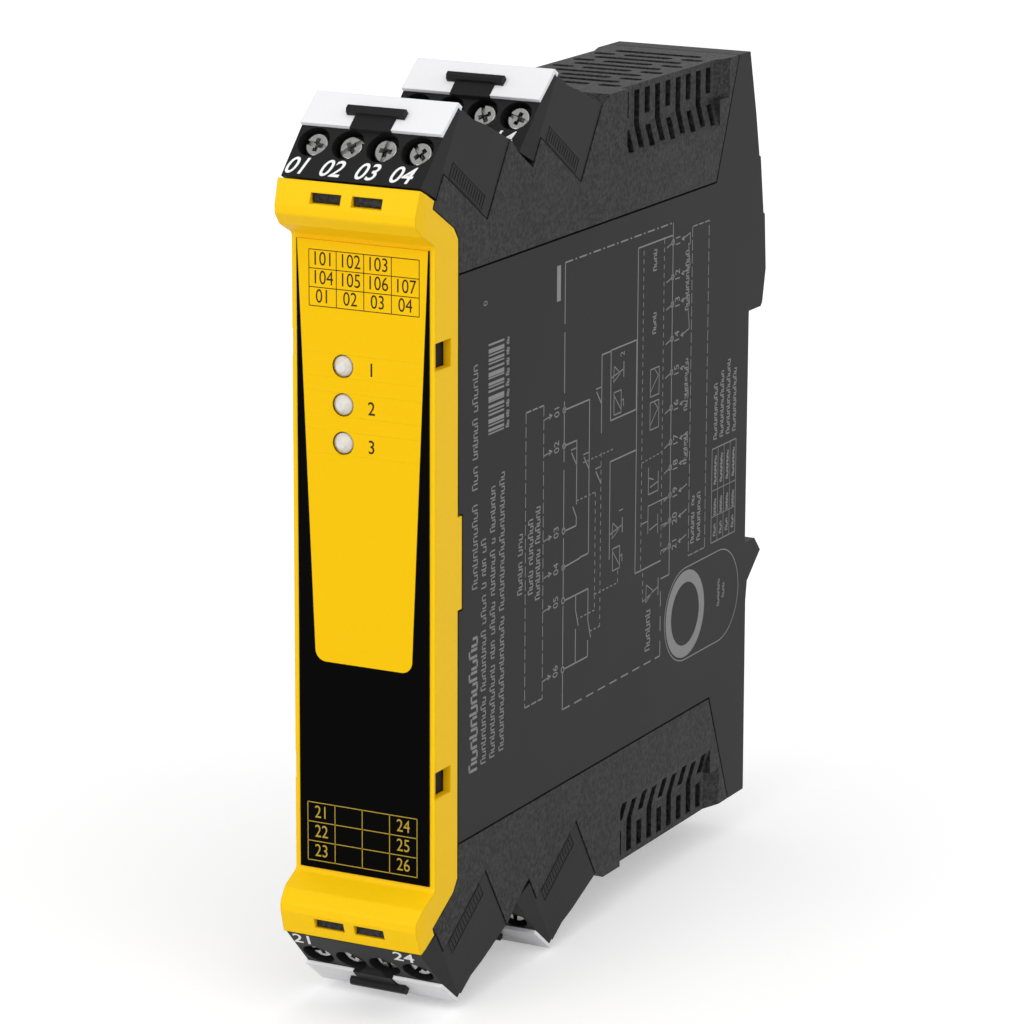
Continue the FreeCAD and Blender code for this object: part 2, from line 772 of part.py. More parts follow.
def make_front_cover():
    """Snap-on cover: label face between two rounded brows, with a wing down each side."""
    body = new_body("front_cover")
    face, crest = -d.cover_face, -d.cover_front
    outer = [
        (-d.wing_plane + d.tab_length - d.cover_play / 2, d.tab_height / 2),
        (-d.wing_plane - d.cover_play / 2, d.tab_height / 2),
        (-d.wing_plane - d.cover_play / 2, d.face_end),
        cover_heel(),
        cover_notch(),
        cover_tail(),
        (crest + 1.2, d.brow_top),
        (crest, d.brow_crest + 0.6),
        (crest, d.brow_crest - 0.7),
        (crest + 1.6, d.brow_crest - 2.4),
        (face, d.face_end),
    ]
    sketch = new_sketch(body, "YZ")
    add_polygon(sketch, mirrored(outer))
    block = pad(body, sketch, d.module_width, centred=True)
    rounds = []
    for side in (1, -1):
        for y, z in (outer[7], outer[8], outer[10]):
            rounds.append((y, z * side))
    doc.recompute()
    fillet(body, block, edges_along_x(block.Shape, rounds), d.corner_round)

    # the brow's ends are drawn in a little towards the crest
    sketch = new_sketch(body, "XY", -d.brow_top - 1)
    for side in (1, -1):
        add_polygon(
            sketch,
            [
                (half_width * side, crest + d.brow_draft_depth),
                ((half_width + 1) * side, crest + d.brow_draft_depth),
                ((half_width + 1) * side, crest - 1),
                ((half_width - d.brow_draft) * side, crest - 1),
                ((half_width - d.brow_draft) * side, crest),
            ],
        )
    pocket(body, sketch, (d.brow_top + 1) * 2, backwards=True)

    thick = d.wall
    slot_floor = d.slot_level - d.slot_height / 2
    inner = [
        (-d.wing_plane + d.tab_length + 1, slot_floor + 0.05),
        (crest + thick * 3, slot_floor + 0.05),
        (crest + thick + 0.7, d.brow_top - 1.4),
        (crest + thick, d.brow_crest + 0.5),
        (crest + thick, d.brow_crest - 0.5),
        (crest + thick * 2, d.brow_crest - 1.9),
        (face + thick, d.face_end - 0.5),
    ]
    sketch = new_sketch(body, "YZ")
    add_polygon(sketch, mirrored(inner))
    pocket(body, sketch, d.module_width - d.cover_wall * 2, centred=True)

    sketch = new_sketch(body, "XZ", d.cover_front + 1)
    for side in (1, -1):
        for level in (d.slot_level, -d.slot_level):
            near = d.slot_inset * side
            far = (d.slot_inset + d.slot_width) * side
            low, high = (near, far) if side > 0 else (far, near)
            add_rectangle(
                sketch,
                (low, level - d.slot_height / 2),
                (high, level + d.slot_height / 2),
            )
    pocket(body, sketch, d.cover_front - d.wing_plane - 5)

    # windows in both wings, each with a scoop that leads the blade in
    window_rear = -d.wing_plane - 2.2
    window_front = window_rear - d.window_length
    sketch = new_sketch(body, "YZ")
    for level in (d.window_level, -d.window_level):
        add_rectangle(
            sketch,
            (window_front, level - d.window_height / 2),
            (window_rear, level + d.window_height / 2),
        )
    pocket(body, sketch, d.module_width + 2, centred=True)
    for level in (d.window_level, -d.window_level):
        sketch = new_sketch(body, "XY", level - d.window_height / 2)
        for side in (1, -1):
            add_polygon(
                sketch,
                [
                    ((half_width + 1) * side, face - 0.2),
                    (half_width * side, face - 0.2),
                    ((half_width - d.cover_wall * 0.6) * side, window_front + 0.1),
                    ((half_width + 1) * side, window_front + 0.1),
                ],
            )
        pocket(body, sketch, d.window_height, backwards=True)

    sketch = new_sketch(body, "XZ", d.cover_face + 1)
    for i in range(int(d.lamps.value)):
        level = d.lamp_top - as_size(i) * d.lamp_pitch
        add_ring(sketch, (d.lamp_side, level), d.lamp_size + d.lamp_play * 2, 16)
    pocket(body, sketch, d.wall + 2)
    return body


def make_front_label():
    """Printed film on the label face."""
    body = new_body("front_label")
    sketch = new_sketch(body, "XZ", d.cover_face)
    reach = (d.label_width / 2, d.label_height / 2)
    add_rectangle(sketch, (-reach[0], -reach[1]), reach)
    for i in range(int(d.lamps.value)):
        level = d.lamp_top - as_size(i) * d.lamp_pitch
        add_ring(sketch, (d.lamp_side, level), d.lamp_size + d.lamp_play * 2, 16)
    pad(body, sketch, d.label_thickness)
    return body


# ---------------------------------------------------------------- rail foot and spring


def foot_top():
    """Where the foot meets the rail flange."""
    return -d.rail_height / 2 - d.rail_play


def make_rail_foot():
    """Sliding foot: a flat bar with the latch nose on top and an eye for the blade below."""
    body = new_body("rail_foot")
    front = -d.foot_depth - d.foot_play * 2
    back = front + d.foot_depth
    lip_front = d.rail_flange + d.rail_play
    lip_end = -d.rail_height / 2 + d.lip_reach
    bottom = -tower_top - d.foot_overhang
    sketch = new_sketch(body, "YZ")
    add_polygon(
        sketch,
        [
            (front, bottom),
            (front, foot_top()),
            (lip_front, foot_top()),
            (lip_front, lip_end),
            (lip_front + d.lip_depth * 0.6, lip_end),
            (lip_front + d.lip_depth + 0.9, foot_top() - 2.6),
            (back, foot_top() - 7),
            (back, bottom),
        ],
    )
    pad(body, sketch, d.foot_width, centred=True)
    half_window = d.spring_radius + 0.5
    sketch = new_sketch(body, "XZ")
    add_rectangle(sketch, (-half_window, window_bottom), (half_window, window_top))
    pocket(body, sketch, d.foot_depth * 3, centred=True)
    sketch = new_sketch(body, "XZ")
    add_rectangle(sketch, (-d.foot_width * 0.3, bottom + 1.6), (d.foot_width * 0.3, bottom + 4.2))
    pocket(body, sketch, d.foot_depth * 3, centred=True)
    return body


def make_foot_spring():
    """Zigzag strip spring between the window of the foot and the peg of the housing."""
    body = new_body("foot_spring")
    bottom = window_top - d.spring_length - d.foot_play / 2
    bends = int(d.spring_turns.value) * 2
    rise = d.spring_length / bends
    left, right = [], []
    for i in range(bends + 1):
        shift = d.spring_radius * 2 - d.spring_strip if i % 2 else as_size(0)
        left.append((shift - d.spring_radius, bottom + rise * i))
        right.append((shift - d.spring_radius + d.spring_strip, bottom + rise * i))
    sketch = new_sketch(body, "XZ", (d.foot_depth - d.spring_width) / 2 + d.foot_play * 2)
    add_polygon(sketch, right + left[::-1])
    pad(body, sketch, d.spring_width)
    return body


# ---------------------------------------------------------------- inside


def board_face():
    """Side of the board that carries the components, in X."""
    return -half_width + d.wall + d.board_standoff + d.board_thickness


def make_main_board():
    """Circuit board on the standoffs of the left shell."""
    body = new_body("main_board")
    sketch = new_sketch(body, "YZ", board_face() - d.board_thickness)
    reach = d.seam_height - 3
    front = -d.wing_plane - d.nose_depth + d.wall + 0.4
    add_polygon(
        sketch,
        [
            (front, -reach),
            (front, reach),
            (-d.seam_knee - 2, reach),
            (-d.wall - 0.4, reach - 12),
            (-d.wall - 0.4, -d.rail_height / 2 + d.wall * 3 + 0.4),
            (-d.seam_knee, -d.rail_height / 2 + d.wall * 3 + 0.4),
            (-d.seam_knee, -reach),
        ],
    )
    pad(body, sketch, d.board_thickness)
    return body


def make_relays():
    """Two force-guided relays, side by side on the board."""
    for number in (1, 2):
        body = new_body(f"relay_{number}")
        sketch = new_sketch(body, "YZ", board_face())
        middle = -d.seam_height + d.relay_pitch * number - d.relay_pitch * 1.5
        reach_y, reach_z = d.relay_width / 2, d.relay_length / 2
        add_rectangle(sketch, (middle - reach_y, -reach_z), (middle + reach_y, reach_z))
        pad(body, sketch, d.relay_height)


def make_capacitors():
    """Two electrolytic capacitors, standing on the board."""
    cans = []
    for side in (1, -1):
        can = doc.addObject("Part::Prism", "can")
        can.Polygon = 16
        can.setExpression("Circumradius", (d.capacitor_size / 2).text)
        can.setExpression("Height", d.capacitor_height.text)
        level = (d.capacitor_size * 1.5) * side
        depth = -d.wing_plane + d.capacitor_size * 2.5
        can.setExpression(
            "Placement",
            f"placement(vector({board_face().text}; {depth.text}; {level.text});"
            " rotation(vector(0; 1; 0); 90))",
        )
        cans.append(can)
    group = doc.addObject("Part::Compound", "capacitors")
    group.Links = cans
    group.Label = "capacitors"
    parts.append(group)


def make_lamps():
    """Round lamps with a tapered tip, on small holders at the front edge of the board."""
    lamps = []
    tip_y = d.cover_face + d.label_thickness + 0.7
    root_y = d.wing_plane + d.nose_depth - d.wall * 2
    for i in range(int(d.lamps.value)):
        level = d.lamp_top - as_size(i) * d.lamp_pitch
        rings = []
        for depth, radius in (
            (root_y, d.lamp_size / 2),
            (tip_y - d.lamp_size * 0.3, d.lamp_size / 2),
            (tip_y, d.lamp_size / 4),
        ):
            ring = doc.addObject("Part::RegularPolygon", "ring")
            ring.Polygon = 16
            ring.setExpression("Circumradius", radius.text)
            ring.setExpression(
                "Placement",
                f"placement(vector({d.lamp_side.text}; {(-depth).text}; {level.text});"
                " rotation(vector(1; 0; 0); 90))",
            )
            rings.append(ring)
        lens = doc.addObject("Part::Loft", "lens")
        lens.Sections = rings
        lens.Solid = True
        lens.Ruled = True
        holder = doc.addObject("Part::Box", "holder")
        holder.setExpression("Length", (d.lamp_side + d.lamp_size * 0.6 - board_face()).text)
        holder.setExpression("Width", (d.lamp_size * 1.2).text)
        holder.setExpression("Height", (d.lamp_size * 1.2).text)
        holder.setExpression(
            "Placement",
            f"placement(vector({board_face().text}; {(-root_y).text};"
            f" {(level - d.lamp_size * 0.6).text}); rotation(0; 0; 0))",
        )
        lamp = doc.addObject("Part::MultiFuse", "lamp")
        lamp.Shapes = [lens, holder]
        lamps.append(lamp)
    group = doc.addObject("Part::Compound", "status_lamps")
    group.Links = lamps
    group.Label = "status_lamps"
    parts.append(group)


# ---------------------------------------------------------------- headers and pins


def seat_names():
    """Name, row and side of the four plug seats."""
    return [
        ("upper_front", rows[0], False),
        ("upper_rear", rows[1], False),
        ("lower_front", rows[0], True),
        ("lower_rear", rows[1], True),
    ]


def header_frame(row, lower):
    """Placement expression of a seat."""
    y, z = tip(row)
    turn = f"rotation(vector(1; 0; 0); -{d.plug_tilt.text})"
    if lower:
        turn = "rotation(vector(0; 1; 0); 180) * " + turn
        z = -z
    return f"placement(vector(0; {y.text}; {z.text}); {turn})"


def make_headers():
    """Pin headers in the back of the seats, and the square pins pressed into them."""
    headers, pins = [], []
    width = (half_width - d.wall - d.plug_play / 2) * 2
    height = d.seat_drop - 0.4
    for name, row, lower in seat_names():
        frame = header_frame(row, lower)
        strip = doc.addObject("Part::Box", f"strip_{name}")
        strip.setExpression("Length", width.text)
        strip.setExpression("Width", d.header_depth.text)
        strip.setExpression("Height", height.text)
        strip.setExpression(
            "Placement",
            f"{frame} * placement(vector({(-width / 2).text}; 0; {(-d.seat_drop).text});"
            " rotation(0; 0; 0))",
        )
        holes = []
        for number, place in enumerate(pole_places):
            for size, collect in ((d.pin_size, pins), (d.pin_size, holes)):
                bar = doc.addObject("Part::Box", f"pin_{name}_{number}")
                bar.setExpression("Length", size.text)
                bar.setExpression("Height", size.text)
                bar.setExpression("Width", (d.pin_reach + d.header_depth + d.pin_tail).text)
                bar.setExpression(
                    "Placement",
                    f"{frame} * placement(vector({(place - size / 2).text};"
                    f" {(-d.pin_reach).text}; {(-d.pin_level - size / 2).text});"
                    " rotation(0; 0; 0))",
                )
                collect.append(bar)
        tools = doc.addObject("Part::Compound", f"holes_{name}")
        tools.Links = holes
        header = doc.addObject("Part::Cut", f"header_{name}")
        header.Base = strip
        header.Tool = tools
        headers.append(header)
    for label, links in (("pin_headers", headers), ("header_pins", pins)):
        group = doc.addObject("Part::Compound", label)
        group.Links = links
        group.Label = label
        parts.append(group)


# ---------------------------------------------------------------- plugs


def face_point(q):
    """Front of the screw face at height q, as p; the face leans back towards the plate."""
    run = d.seat_length + d.plug_overlap - 0.1
    return run - as_size(q) * sine(d.face_lean)


def plate_point(along, out):
    """A point on the marker plate: along it from the front edge, and out of its face."""
    along, out = as_size(along), as_size(out)
    start_q = as_size(4.5)
    start_p = face_point(start_q)
    p = start_p - along * sine(d.plate_lean) + out * cosine(d.plate_lean)
    q = start_q + along * cosine(d.plate_lean) + out * sine(d.plate_lean)
    return (-p, q)


def pole_pocket(body, plane, level, low, high, length, backwards=False):
    """A rectangular pocket at the first pole, repeated for every pole."""
    sketch = new_sketch(body, plane, level)
    first = pole_places[0]
    add_rectangle(sketch, (first + low[0], low[1]), (first + high[0], high[1]))
    feature = pocket(body, sketch, length, backwards=backwards)
    repeat(body, feature, "H_Axis", d.pole_pitch, d.poles)


def make_plug(name, row, lower):
    """Plug housing with cheeks, screw face, wire holes, clamp rooms and the plate hook."""
    body = new_body(f"plug_{name}")
    play = d.plug_play
    floor_q = play
    seat = -d.plate_thickness - d.plate_play
    below_lip = d.lip_height + d.plate_play + seat * sine(d.plate_lean)
    crest = plate_point(d.plate_length - below_lip / cosine(d.plate_lean), seat)
    step = plate_point(d.plate_length, 0)[0] + d.plate_lip + d.plate_play
    low = -d.seat_drop + 0.4
    sketch = new_sketch(body, "YZ")
    add_polygon(
        sketch,
        [
            (-play, floor_q),
            (-d.seat_length - play, floor_q),
            (-d.seat_length - play, low),
            (-face_point(low - d.head_skirt), low - d.head_skirt),
            plate_point(0, seat),
            crest,
            (step, crest[1]),
            (step, crest[1] + d.lip_height / 2),
            (step + 3.5, d.crest_height + 0.6),
            (step + 7.0, d.crest_height + 1.5),
            (-play, d.seat_back - 0.1),
        ],
    )
    pad(body, sketch, d.plug_width, centred=True)
    core_half = half_width - d.wall - play
    sketch = new_sketch(body, "YZ")
    add_polygon(
        sketch,
        [
            (-play * 2, -d.seat_drop + 0.4),
            (-d.seat_length - 1, -d.seat_drop + 0.4),
            (-d.seat_length - 1, 1),
            (-play * 2, 1),
        ],
    )
    pad(body, sketch, core_half * 2, centred=True)

    # the head narrows a little towards the screw face
    sketch = new_sketch(body, "XY", -d.seat_drop - 1)
    for side in (1, -1):
        outside = (half_width + 1) * side
        add_polygon(
            sketch,
            [
                (d.plug_width / 2 * side, -d.seat_length - 0.4),
                (outside, -d.seat_length - 0.4),
                (outside, -d.seat_length - d.plug_overlap - 2),
                (d.head_width / 2 * side, -d.seat_length - d.plug_overlap - 2),
            ],
        )
    pocket(body, sketch, d.seat_drop + d.crest_height + 4, backwards=True)

    # hook that holds the marker plate: a neck through its notch and a head over it
    sketch = new_sketch(body, "YZ")
    head_start, head_end = d.hook_start, d.hook_start + d.hook_bar
    add_polygon(
        sketch,
        [
            plate_point(-0.6, seat - 1),
            plate_point(-0.4, 0.1),
            plate_point(head_start, 0.3),
            plate_point(head_end, 0.3),
            plate_point(head_end, seat - 1),
        ],
    )
    pad(body, sketch, d.hook_neck, centred=True)
    sketch = new_sketch(body, "YZ")
    add_polygon(
        sketch,
        [
            plate_point(head_start, d.plate_play),
            plate_point(head_start, d.hook_rise * 0.6),
            plate_point(head_start + d.hook_bar * 0.3, d.hook_rise),
            plate_point(head_end - d.hook_bar * 0.2, d.hook_rise),
            plate_point(head_end, d.hook_rise * 0.7),
            plate_point(head_end, d.plate_play),
        ],
    )
    pad(body, sketch, d.hook_head, centred=True)

    # screw holes, shank holes, clamp rooms, contact rooms and wire holes, one of each a pole
    first = pole_places[0]
    outside_p = d.seat_length + d.plug_overlap + 3
    for across, sides, start, length in (
        (d.screw_hole, 20, outside_p, outside_p - d.shoulder),
        (shank_hole, 8, d.shoulder + 0.1, d.shoulder - d.bar_level),
    ):
        sketch = new_sketch(body, "XZ", start)
        add_ring(sketch, (first, d.screw_level), across, sides)
        feature = pocket(body, sketch, length)
        repeat(body, feature, "H_Axis", d.pole_pitch, d.poles)
    half_cage = (d.cage_width / 2 + d.cage_play, d.cage_height / 2 + d.cage_play)
    room_top = cage_low + d.cage_length + d.cage_travel + d.cage_play
    pole_pocket(
        body,
        "XZ",
        room_top,
        (-half_cage[0], d.screw_level - half_cage[1]),
        (half_cage[0], d.screw_level + half_cage[1]),
        room_top - cage_low + d.cage_play,
    )
    half_contact = d.contact_width / 2 + 0.05
    contact_top = -d.pin_level + d.contact_height / 2 + 0.05
    contact_low = -d.pin_level - d.contact_height / 2 - 0.05
    pole_pocket(
        body,
        "XZ",
        d.bar_level + d.bar_size + 0.05,
        (-half_contact, contact_low),
        (half_contact, contact_top),
        d.bar_level + d.bar_size + 1,
    )
    pole_pocket(
        body,
        "XZ",
        d.bar_level + d.bar_size + 0.05,
        (-half_contact, contact_top - 0.1),
        (half_contact, d.screw_level + half_cage[1] - 0.05),
        d.bar_size + 0.1,
    )
    wire_far = -d.bar_level
    wire_near = wire_far + d.wire_width
    sketch = new_sketch(body, "XY", d.seat_back + 1)
    add_rectangle(
        sketch,
        (first - d.wire_width / 2, wire_far),
        (first + d.wire_width / 2, wire_near),
    )
    feature = pocket(body, sketch, d.seat_back + 1 - d.screw_level)
    repeat(body, feature, "H_Axis", d.pole_pitch, d.poles)
    mouth = d.wire_mouth / 2
    middle = (wire_far + wire_near) / 2
    sketch = new_sketch(body, "XY", d.seat_back + 1)
    add_rectangle(sketch, (first - mouth, middle - mouth), (first + mouth, middle + mouth))
    feature = pocket(body, sketch, d.seat_back + 1 - d.crest_height + 0.6)
    repeat(body, feature, "H_Axis", d.pole_pitch, d.poles)

    place_in_seat(body, row, lower)
    return body


def make_marker_plate(name, row, lower):
    """White marker plate: a flat strip with a rear lip and a notch for the hook."""
    body = new_body(f"marker_{name}")
    thick = d.plate_thickness
    lip = plate_point(d.plate_length, 0)
    sketch = new_sketch(body, "YZ")
    add_polygon(
        sketch,
        [
            plate_point(0, -thick),
            plate_point(0, 0),
            lip,
            (lip[0] + d.plate_lip, lip[1]),
            (lip[0] + d.plate_lip, lip[1] - d.lip_height),
            plate_point(d.plate_length - d.lip_height / 2, -thick),
        ],
    )
    pad(body, sketch, d.plate_width, centred=True)
    notch = d.hook_neck / 2 + d.plate_play
    far = d.hook_start + d.hook_bar + d.plate_play
    sketch = new_sketch(body, "YZ")
    add_polygon(
        sketch,
        [
            plate_point(-1, -thick - 1),
            plate_point(-1, 1),
            plate_point(far, 1),
            plate_point(far, -thick - 1),
        ],
    )
    pocket(body, sketch, notch * 2, centred=True)
    place_in_seat(body, row, lower)
    return body


def make_contacts(name, row, lower):
    """Four contacts of one plug: a fork for the pin and the busbar through the cage."""
    frame = header_frame(row, lower)
    contacts = []
    half = d.contact_width / 2
    back = d.plug_play * 2 + 0.4
    for number, place in enumerate(pole_places):
        pieces = []
        slot = d.pin_size + d.pin_play * 2
        for label, start, size in (
            (
                "bar",
                (place - half, -d.bar_level - d.bar_size, -d.pin_level - d.contact_height / 2),
                (
                    d.contact_width,
                    d.bar_size,
                    d.screw_level + d.cage_height / 2 + d.pin_level + d.contact_height / 2,
                ),
            ),
            (
                "fork",
                (place - half, -d.bar_level - 0.1, -d.pin_level - d.contact_height / 2),
                (d.contact_width, d.bar_level + 0.1 - back, d.contact_height),
            ),
            (
                "slot",
                (place - slot / 2, -d.pin_reach - 1, -d.pin_level - slot / 2),
                (slot, d.pin_reach + 2, slot),
            ),
        ):
            box = doc.addObject("Part::Box", f"{label}_{name}_{number}")
            for prop, length in zip(("Length", "Width", "Height"), size):
                box.setExpression(prop, as_size(length).text)
            corner = "; ".join(as_size(value).text for value in start)
            box.setExpression(
                "Placement", f"{frame} * placement(vector({corner}); rotation(0; 0; 0))"
            )
            pieces.append(box)
        solid = doc.addObject("Part::MultiFuse", f"stem_{name}_{number}")
        solid.Shapes = pieces[:2]
        contact = doc.addObject("Part::Cut", f"contact_{name}_{number}")
        contact.Base = solid
        contact.Tool = pieces[2]
        contacts.append(contact)
    group = doc.addObject("Part::Compound", f"contacts_{name}")
    group.Links = contacts
    group.Label = f"contacts_{name}"
    parts.append(group)


def make_screw(name, number, place, row, lower):
    """Captive clamp screw: slotted head on a plain shank; the fine thread is not cut."""
    body = new_body(f"screw_{name}_{number}")
    head_low = d.shoulder + 0.05
    head_top = head_low + d.head_height
    shank_end = d.bar_level + d.bar_size + 0.05
    sketch = new_sketch(body, "XZ", head_top)
    add_ring(sketch, (place, d.screw_level), d.screw_head, 12)
    pad(body, sketch, d.head_height, backwards=True)
    sketch = new_sketch(body, "XZ", head_low)
    add_circle(sketch, (place, d.screw_level), d.shank_size)
    pad(body, sketch, head_low - shank_end, backwards=True)
    sketch = new_sketch(body, "XZ", head_top)
    reach = d.screw_head / 2 + 0.2
    add_rectangle(
        sketch,
        (place - d.screw_slot / 2, d.screw_level - reach),
        (place + d.screw_slot / 2, d.screw_level + reach),
    )
    pocket(body, sketch, d.slot_depth)
    place_in_seat(body, row, lower)
    return body


def make_cage(name, number, place, row, lower):
    """Clamp cage: a square tube that the screw draws up against the busbar."""
    body = new_body(f"cage_{name}_{number}")
    half_x, half_q = d.cage_width / 2, d.cage_height / 2
    sketch = new_sketch(body, "XY", d.screw_level - half_q)
    low, high = -cage_low - d.cage_length, -cage_low
    add_rectangle(sketch, (place - half_x, low), (place + half_x, high))
    add_rectangle(
        sketch,
        (place - half_x + d.cage_wall, low + d.cage_end),
        (place + half_x - d.cage_wall, high - d.cage_end),
    )
    pad(body, sketch, d.cage_height)
    sketch = new_sketch(body, "XZ", -low + 0.1)
    add_ring(sketch, (place, d.screw_level), shank_hole, 8)
    pocket(body, sketch, d.cage_end + 0.2)
    place_in_seat(body, row, lower)
    return body


# ---------------------------------------------------------------- build and export


make_shell("housing_shell_left", True)
make_shell("housing_shell_right", False)
make_terminal_block("terminal_block_upper", False)
make_terminal_block("terminal_block_lower", True)
make_front_cover()
make_front_label()
make_rail_foot()
make_foot_spring()
make_main_board()
make_relays()
make_capacitors()
make_lamps()
make_headers()
for seat, row, lower in seat_names():
    make_plug(seat, row, lower)
    make_marker_plate(seat, row, lower)
    make_contacts(seat, row, lower)
    for number, place in enumerate(pole_places, start=1):
        make_screw(seat, number, place, row, lower)
        make_cage(seat, number, place, row, lower)

doc.recompute()
for item in doc.Objects:
    if "Invalid" in item.State or "Error" in item.State:
        raise RuntimeError(f"{item.Name} ({item.TypeId}) failed: {item.State}")
for part in parts:
    if part.Shape.isNull() or not part.Shape.isValid():
        raise RuntimeError(f"{part.Label} has no valid shape")

os.makedirs("parts", exist_ok=True)
for part in parts:
    part.Shape.exportStep(f"parts/{part.Label}.step")
print(len(parts), "parts")
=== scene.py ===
import json
import math

import bmesh
import bpy
from mathutils import Matrix, Vector
from mathutils.bvhtree import BVHTree


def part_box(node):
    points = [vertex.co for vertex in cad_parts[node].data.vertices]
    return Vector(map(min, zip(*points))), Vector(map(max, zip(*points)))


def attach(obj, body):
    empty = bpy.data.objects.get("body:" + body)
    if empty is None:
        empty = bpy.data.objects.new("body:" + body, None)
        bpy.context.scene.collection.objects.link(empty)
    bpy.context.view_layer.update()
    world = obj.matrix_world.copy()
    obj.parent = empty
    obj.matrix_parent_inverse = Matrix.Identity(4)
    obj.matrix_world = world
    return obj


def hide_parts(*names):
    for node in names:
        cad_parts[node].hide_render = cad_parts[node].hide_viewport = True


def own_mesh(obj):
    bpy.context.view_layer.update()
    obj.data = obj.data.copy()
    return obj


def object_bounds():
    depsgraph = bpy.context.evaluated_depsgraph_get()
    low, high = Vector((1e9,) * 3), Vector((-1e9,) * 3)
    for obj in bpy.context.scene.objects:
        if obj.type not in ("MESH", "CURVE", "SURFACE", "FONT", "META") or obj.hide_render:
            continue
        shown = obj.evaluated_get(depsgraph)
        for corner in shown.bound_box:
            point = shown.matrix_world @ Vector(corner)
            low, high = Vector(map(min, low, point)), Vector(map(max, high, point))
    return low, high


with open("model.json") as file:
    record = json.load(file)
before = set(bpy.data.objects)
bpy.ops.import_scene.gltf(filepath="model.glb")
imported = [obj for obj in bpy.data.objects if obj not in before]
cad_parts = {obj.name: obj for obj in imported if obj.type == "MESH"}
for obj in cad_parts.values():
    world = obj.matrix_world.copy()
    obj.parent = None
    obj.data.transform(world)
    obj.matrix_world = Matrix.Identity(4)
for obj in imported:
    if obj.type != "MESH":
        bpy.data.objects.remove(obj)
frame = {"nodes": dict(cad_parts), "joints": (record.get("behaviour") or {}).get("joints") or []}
cad_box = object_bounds()
mm = 0.001

# Housing shells: two half shells that clip together at the middle, injection moulded in
# glass-filled polyamide 66. The tool is finely eroded, which gives the eye an almost even
# charcoal with a wide, faint sheen, a trace of flow marks and softly broken edges.
shell_charcoal = "#282829"
shell_grain = 0.25 * mm
flow_mark = 30 * mm


def linear(code):
    """An sRGB hex colour as linear RGBA."""
    parts = [int(code[i : i + 2], 16) / 255 for i in (1, 3, 5)]
    parts = [c / 12.92 if c <= 0.04045 else ((c + 0.055) / 1.055) ** 2.4 for c in parts]
    return (*parts, 1.0)


def add(tree, kind, sockets=None, **settings):
    """Adds a shader node, sets its properties, and sets or links its sockets."""
    node = tree.nodes.new(kind)
    for name, value in settings.items():
        setattr(node, name, value)
    for name, value in (sockets or {}).items():
        if isinstance(value, bpy.types.NodeSocket):
            tree.links.new(value, node.inputs[name])
        else:
            node.inputs[name].default_value = value
    return node


def new_material(name):
    """An empty material; returns (material, tree, output node)."""
    material = bpy.data.materials.new(name)
    material.use_nodes = True
    tree = material.node_tree
    tree.nodes.clear()
    return material, tree, add(tree, "ShaderNodeOutputMaterial")


def moulded(name, code, rough, grain, depth, index, shine, specks=0.06, drift=0.04, edge=0.1 * mm):
    """Moulded plastic: grain of a given size and depth, slow drift in tone, broken edges."""
    material, tree, out = new_material(name)
    place = add(tree, "ShaderNodeTexCoord").outputs["Object"]
    fine = add(
        tree,
        "ShaderNodeTexNoise",
        {"Vector": place, "Scale": 1 / grain, "Detail": 2.5, "Roughness": 0.6},
    )
    slow = add(
        tree,
        "ShaderNodeTexNoise",
        {"Vector": place, "Scale": 1 / flow_mark, "Detail": 2.0, "Distortion": 0.6},
    )
    base = Vector(linear(code)[:3])
    tone = add(tree, "ShaderNodeValToRGB", {"Fac": fine.outputs["Fac"]})
    for stop, (position, share) in zip(
        tone.color_ramp.elements, ((0.35, 1 - specks), (0.68, 1 + specks * 1.6))
    ):
        stop.position = position
        stop.color = (*(base * share), 1)
    shade = add(
        tree,
        "ShaderNodeMapRange",
        {"Value": slow.outputs["Fac"], "To Min": 1 - drift, "To Max": 1 + drift},
    )
    shaded = add(
        tree,
        "ShaderNodeVectorMath",
        {0: tone.outputs["Color"], "Scale": shade.outputs["Result"]},
        operation="SCALE",
    )
    gloss = add(
        tree,
        "ShaderNodeMapRange",
        {"Value": slow.outputs["Fac"], "To Min": rough - 0.05, "To Max": rough + 0.05},
    )
    corner = add(tree, "ShaderNodeBevel", {"Radius": edge}, samples=4)
    relief = add(
        tree,
        "ShaderNodeBump",
        {
            "Height": fine.outputs["Fac"],
            "Distance": depth,
            "Strength": 1.0,
            "Normal": corner.outputs["Normal"],
        },
    )
    surface = add(
        tree,
        "ShaderNodeBsdfPrincipled",
        {
            "Base Color": shaded.outputs["Vector"],
            "Roughness": gloss.outputs["Result"],
            "IOR": index,
            "Specular IOR Level": shine,
            "Normal": relief.outputs["Normal"],
        },
    )
    tree.links.new(surface.outputs["BSDF"], out.inputs["Surface"])
    return material


def dress(material, *names):
    """Gives CAD nodes a material."""
    for name in names:
        slots = frame["nodes"][name].data.materials
        slots.clear()
        slots.append(material)


satin_polyamide = moulded(
    "polyamide_66_satin_charcoal", shell_charcoal,
    rough=0.55, grain=shell_grain, depth=0.004 * mm, index=1.53, shine=0.12,
)
dress(satin_polyamide, "housing_shell_left", "housing_shell_right")

# Side print: a pale grey wiring plan and lines of small print, laser marked on the right shell.
# The mark is a layer of foamed plastic a hundredth of a millimetre proud. The eye gets a flat
# grey line. Terminals carry plain numbers, and words are rows of plain open boxes.
mark_grey = "#8E8E8E"
mark_grain = 0.2 * mm
ink_height = 0.01 * mm
hair = 0.22 * mm
box_pitch, box_wide = 0.72, 0.62
box_heights = (1.0, 0.74, 0.74, 1.0, 0.74)
box_right = 0.8
side_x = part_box("housing_shell_right")[1].x


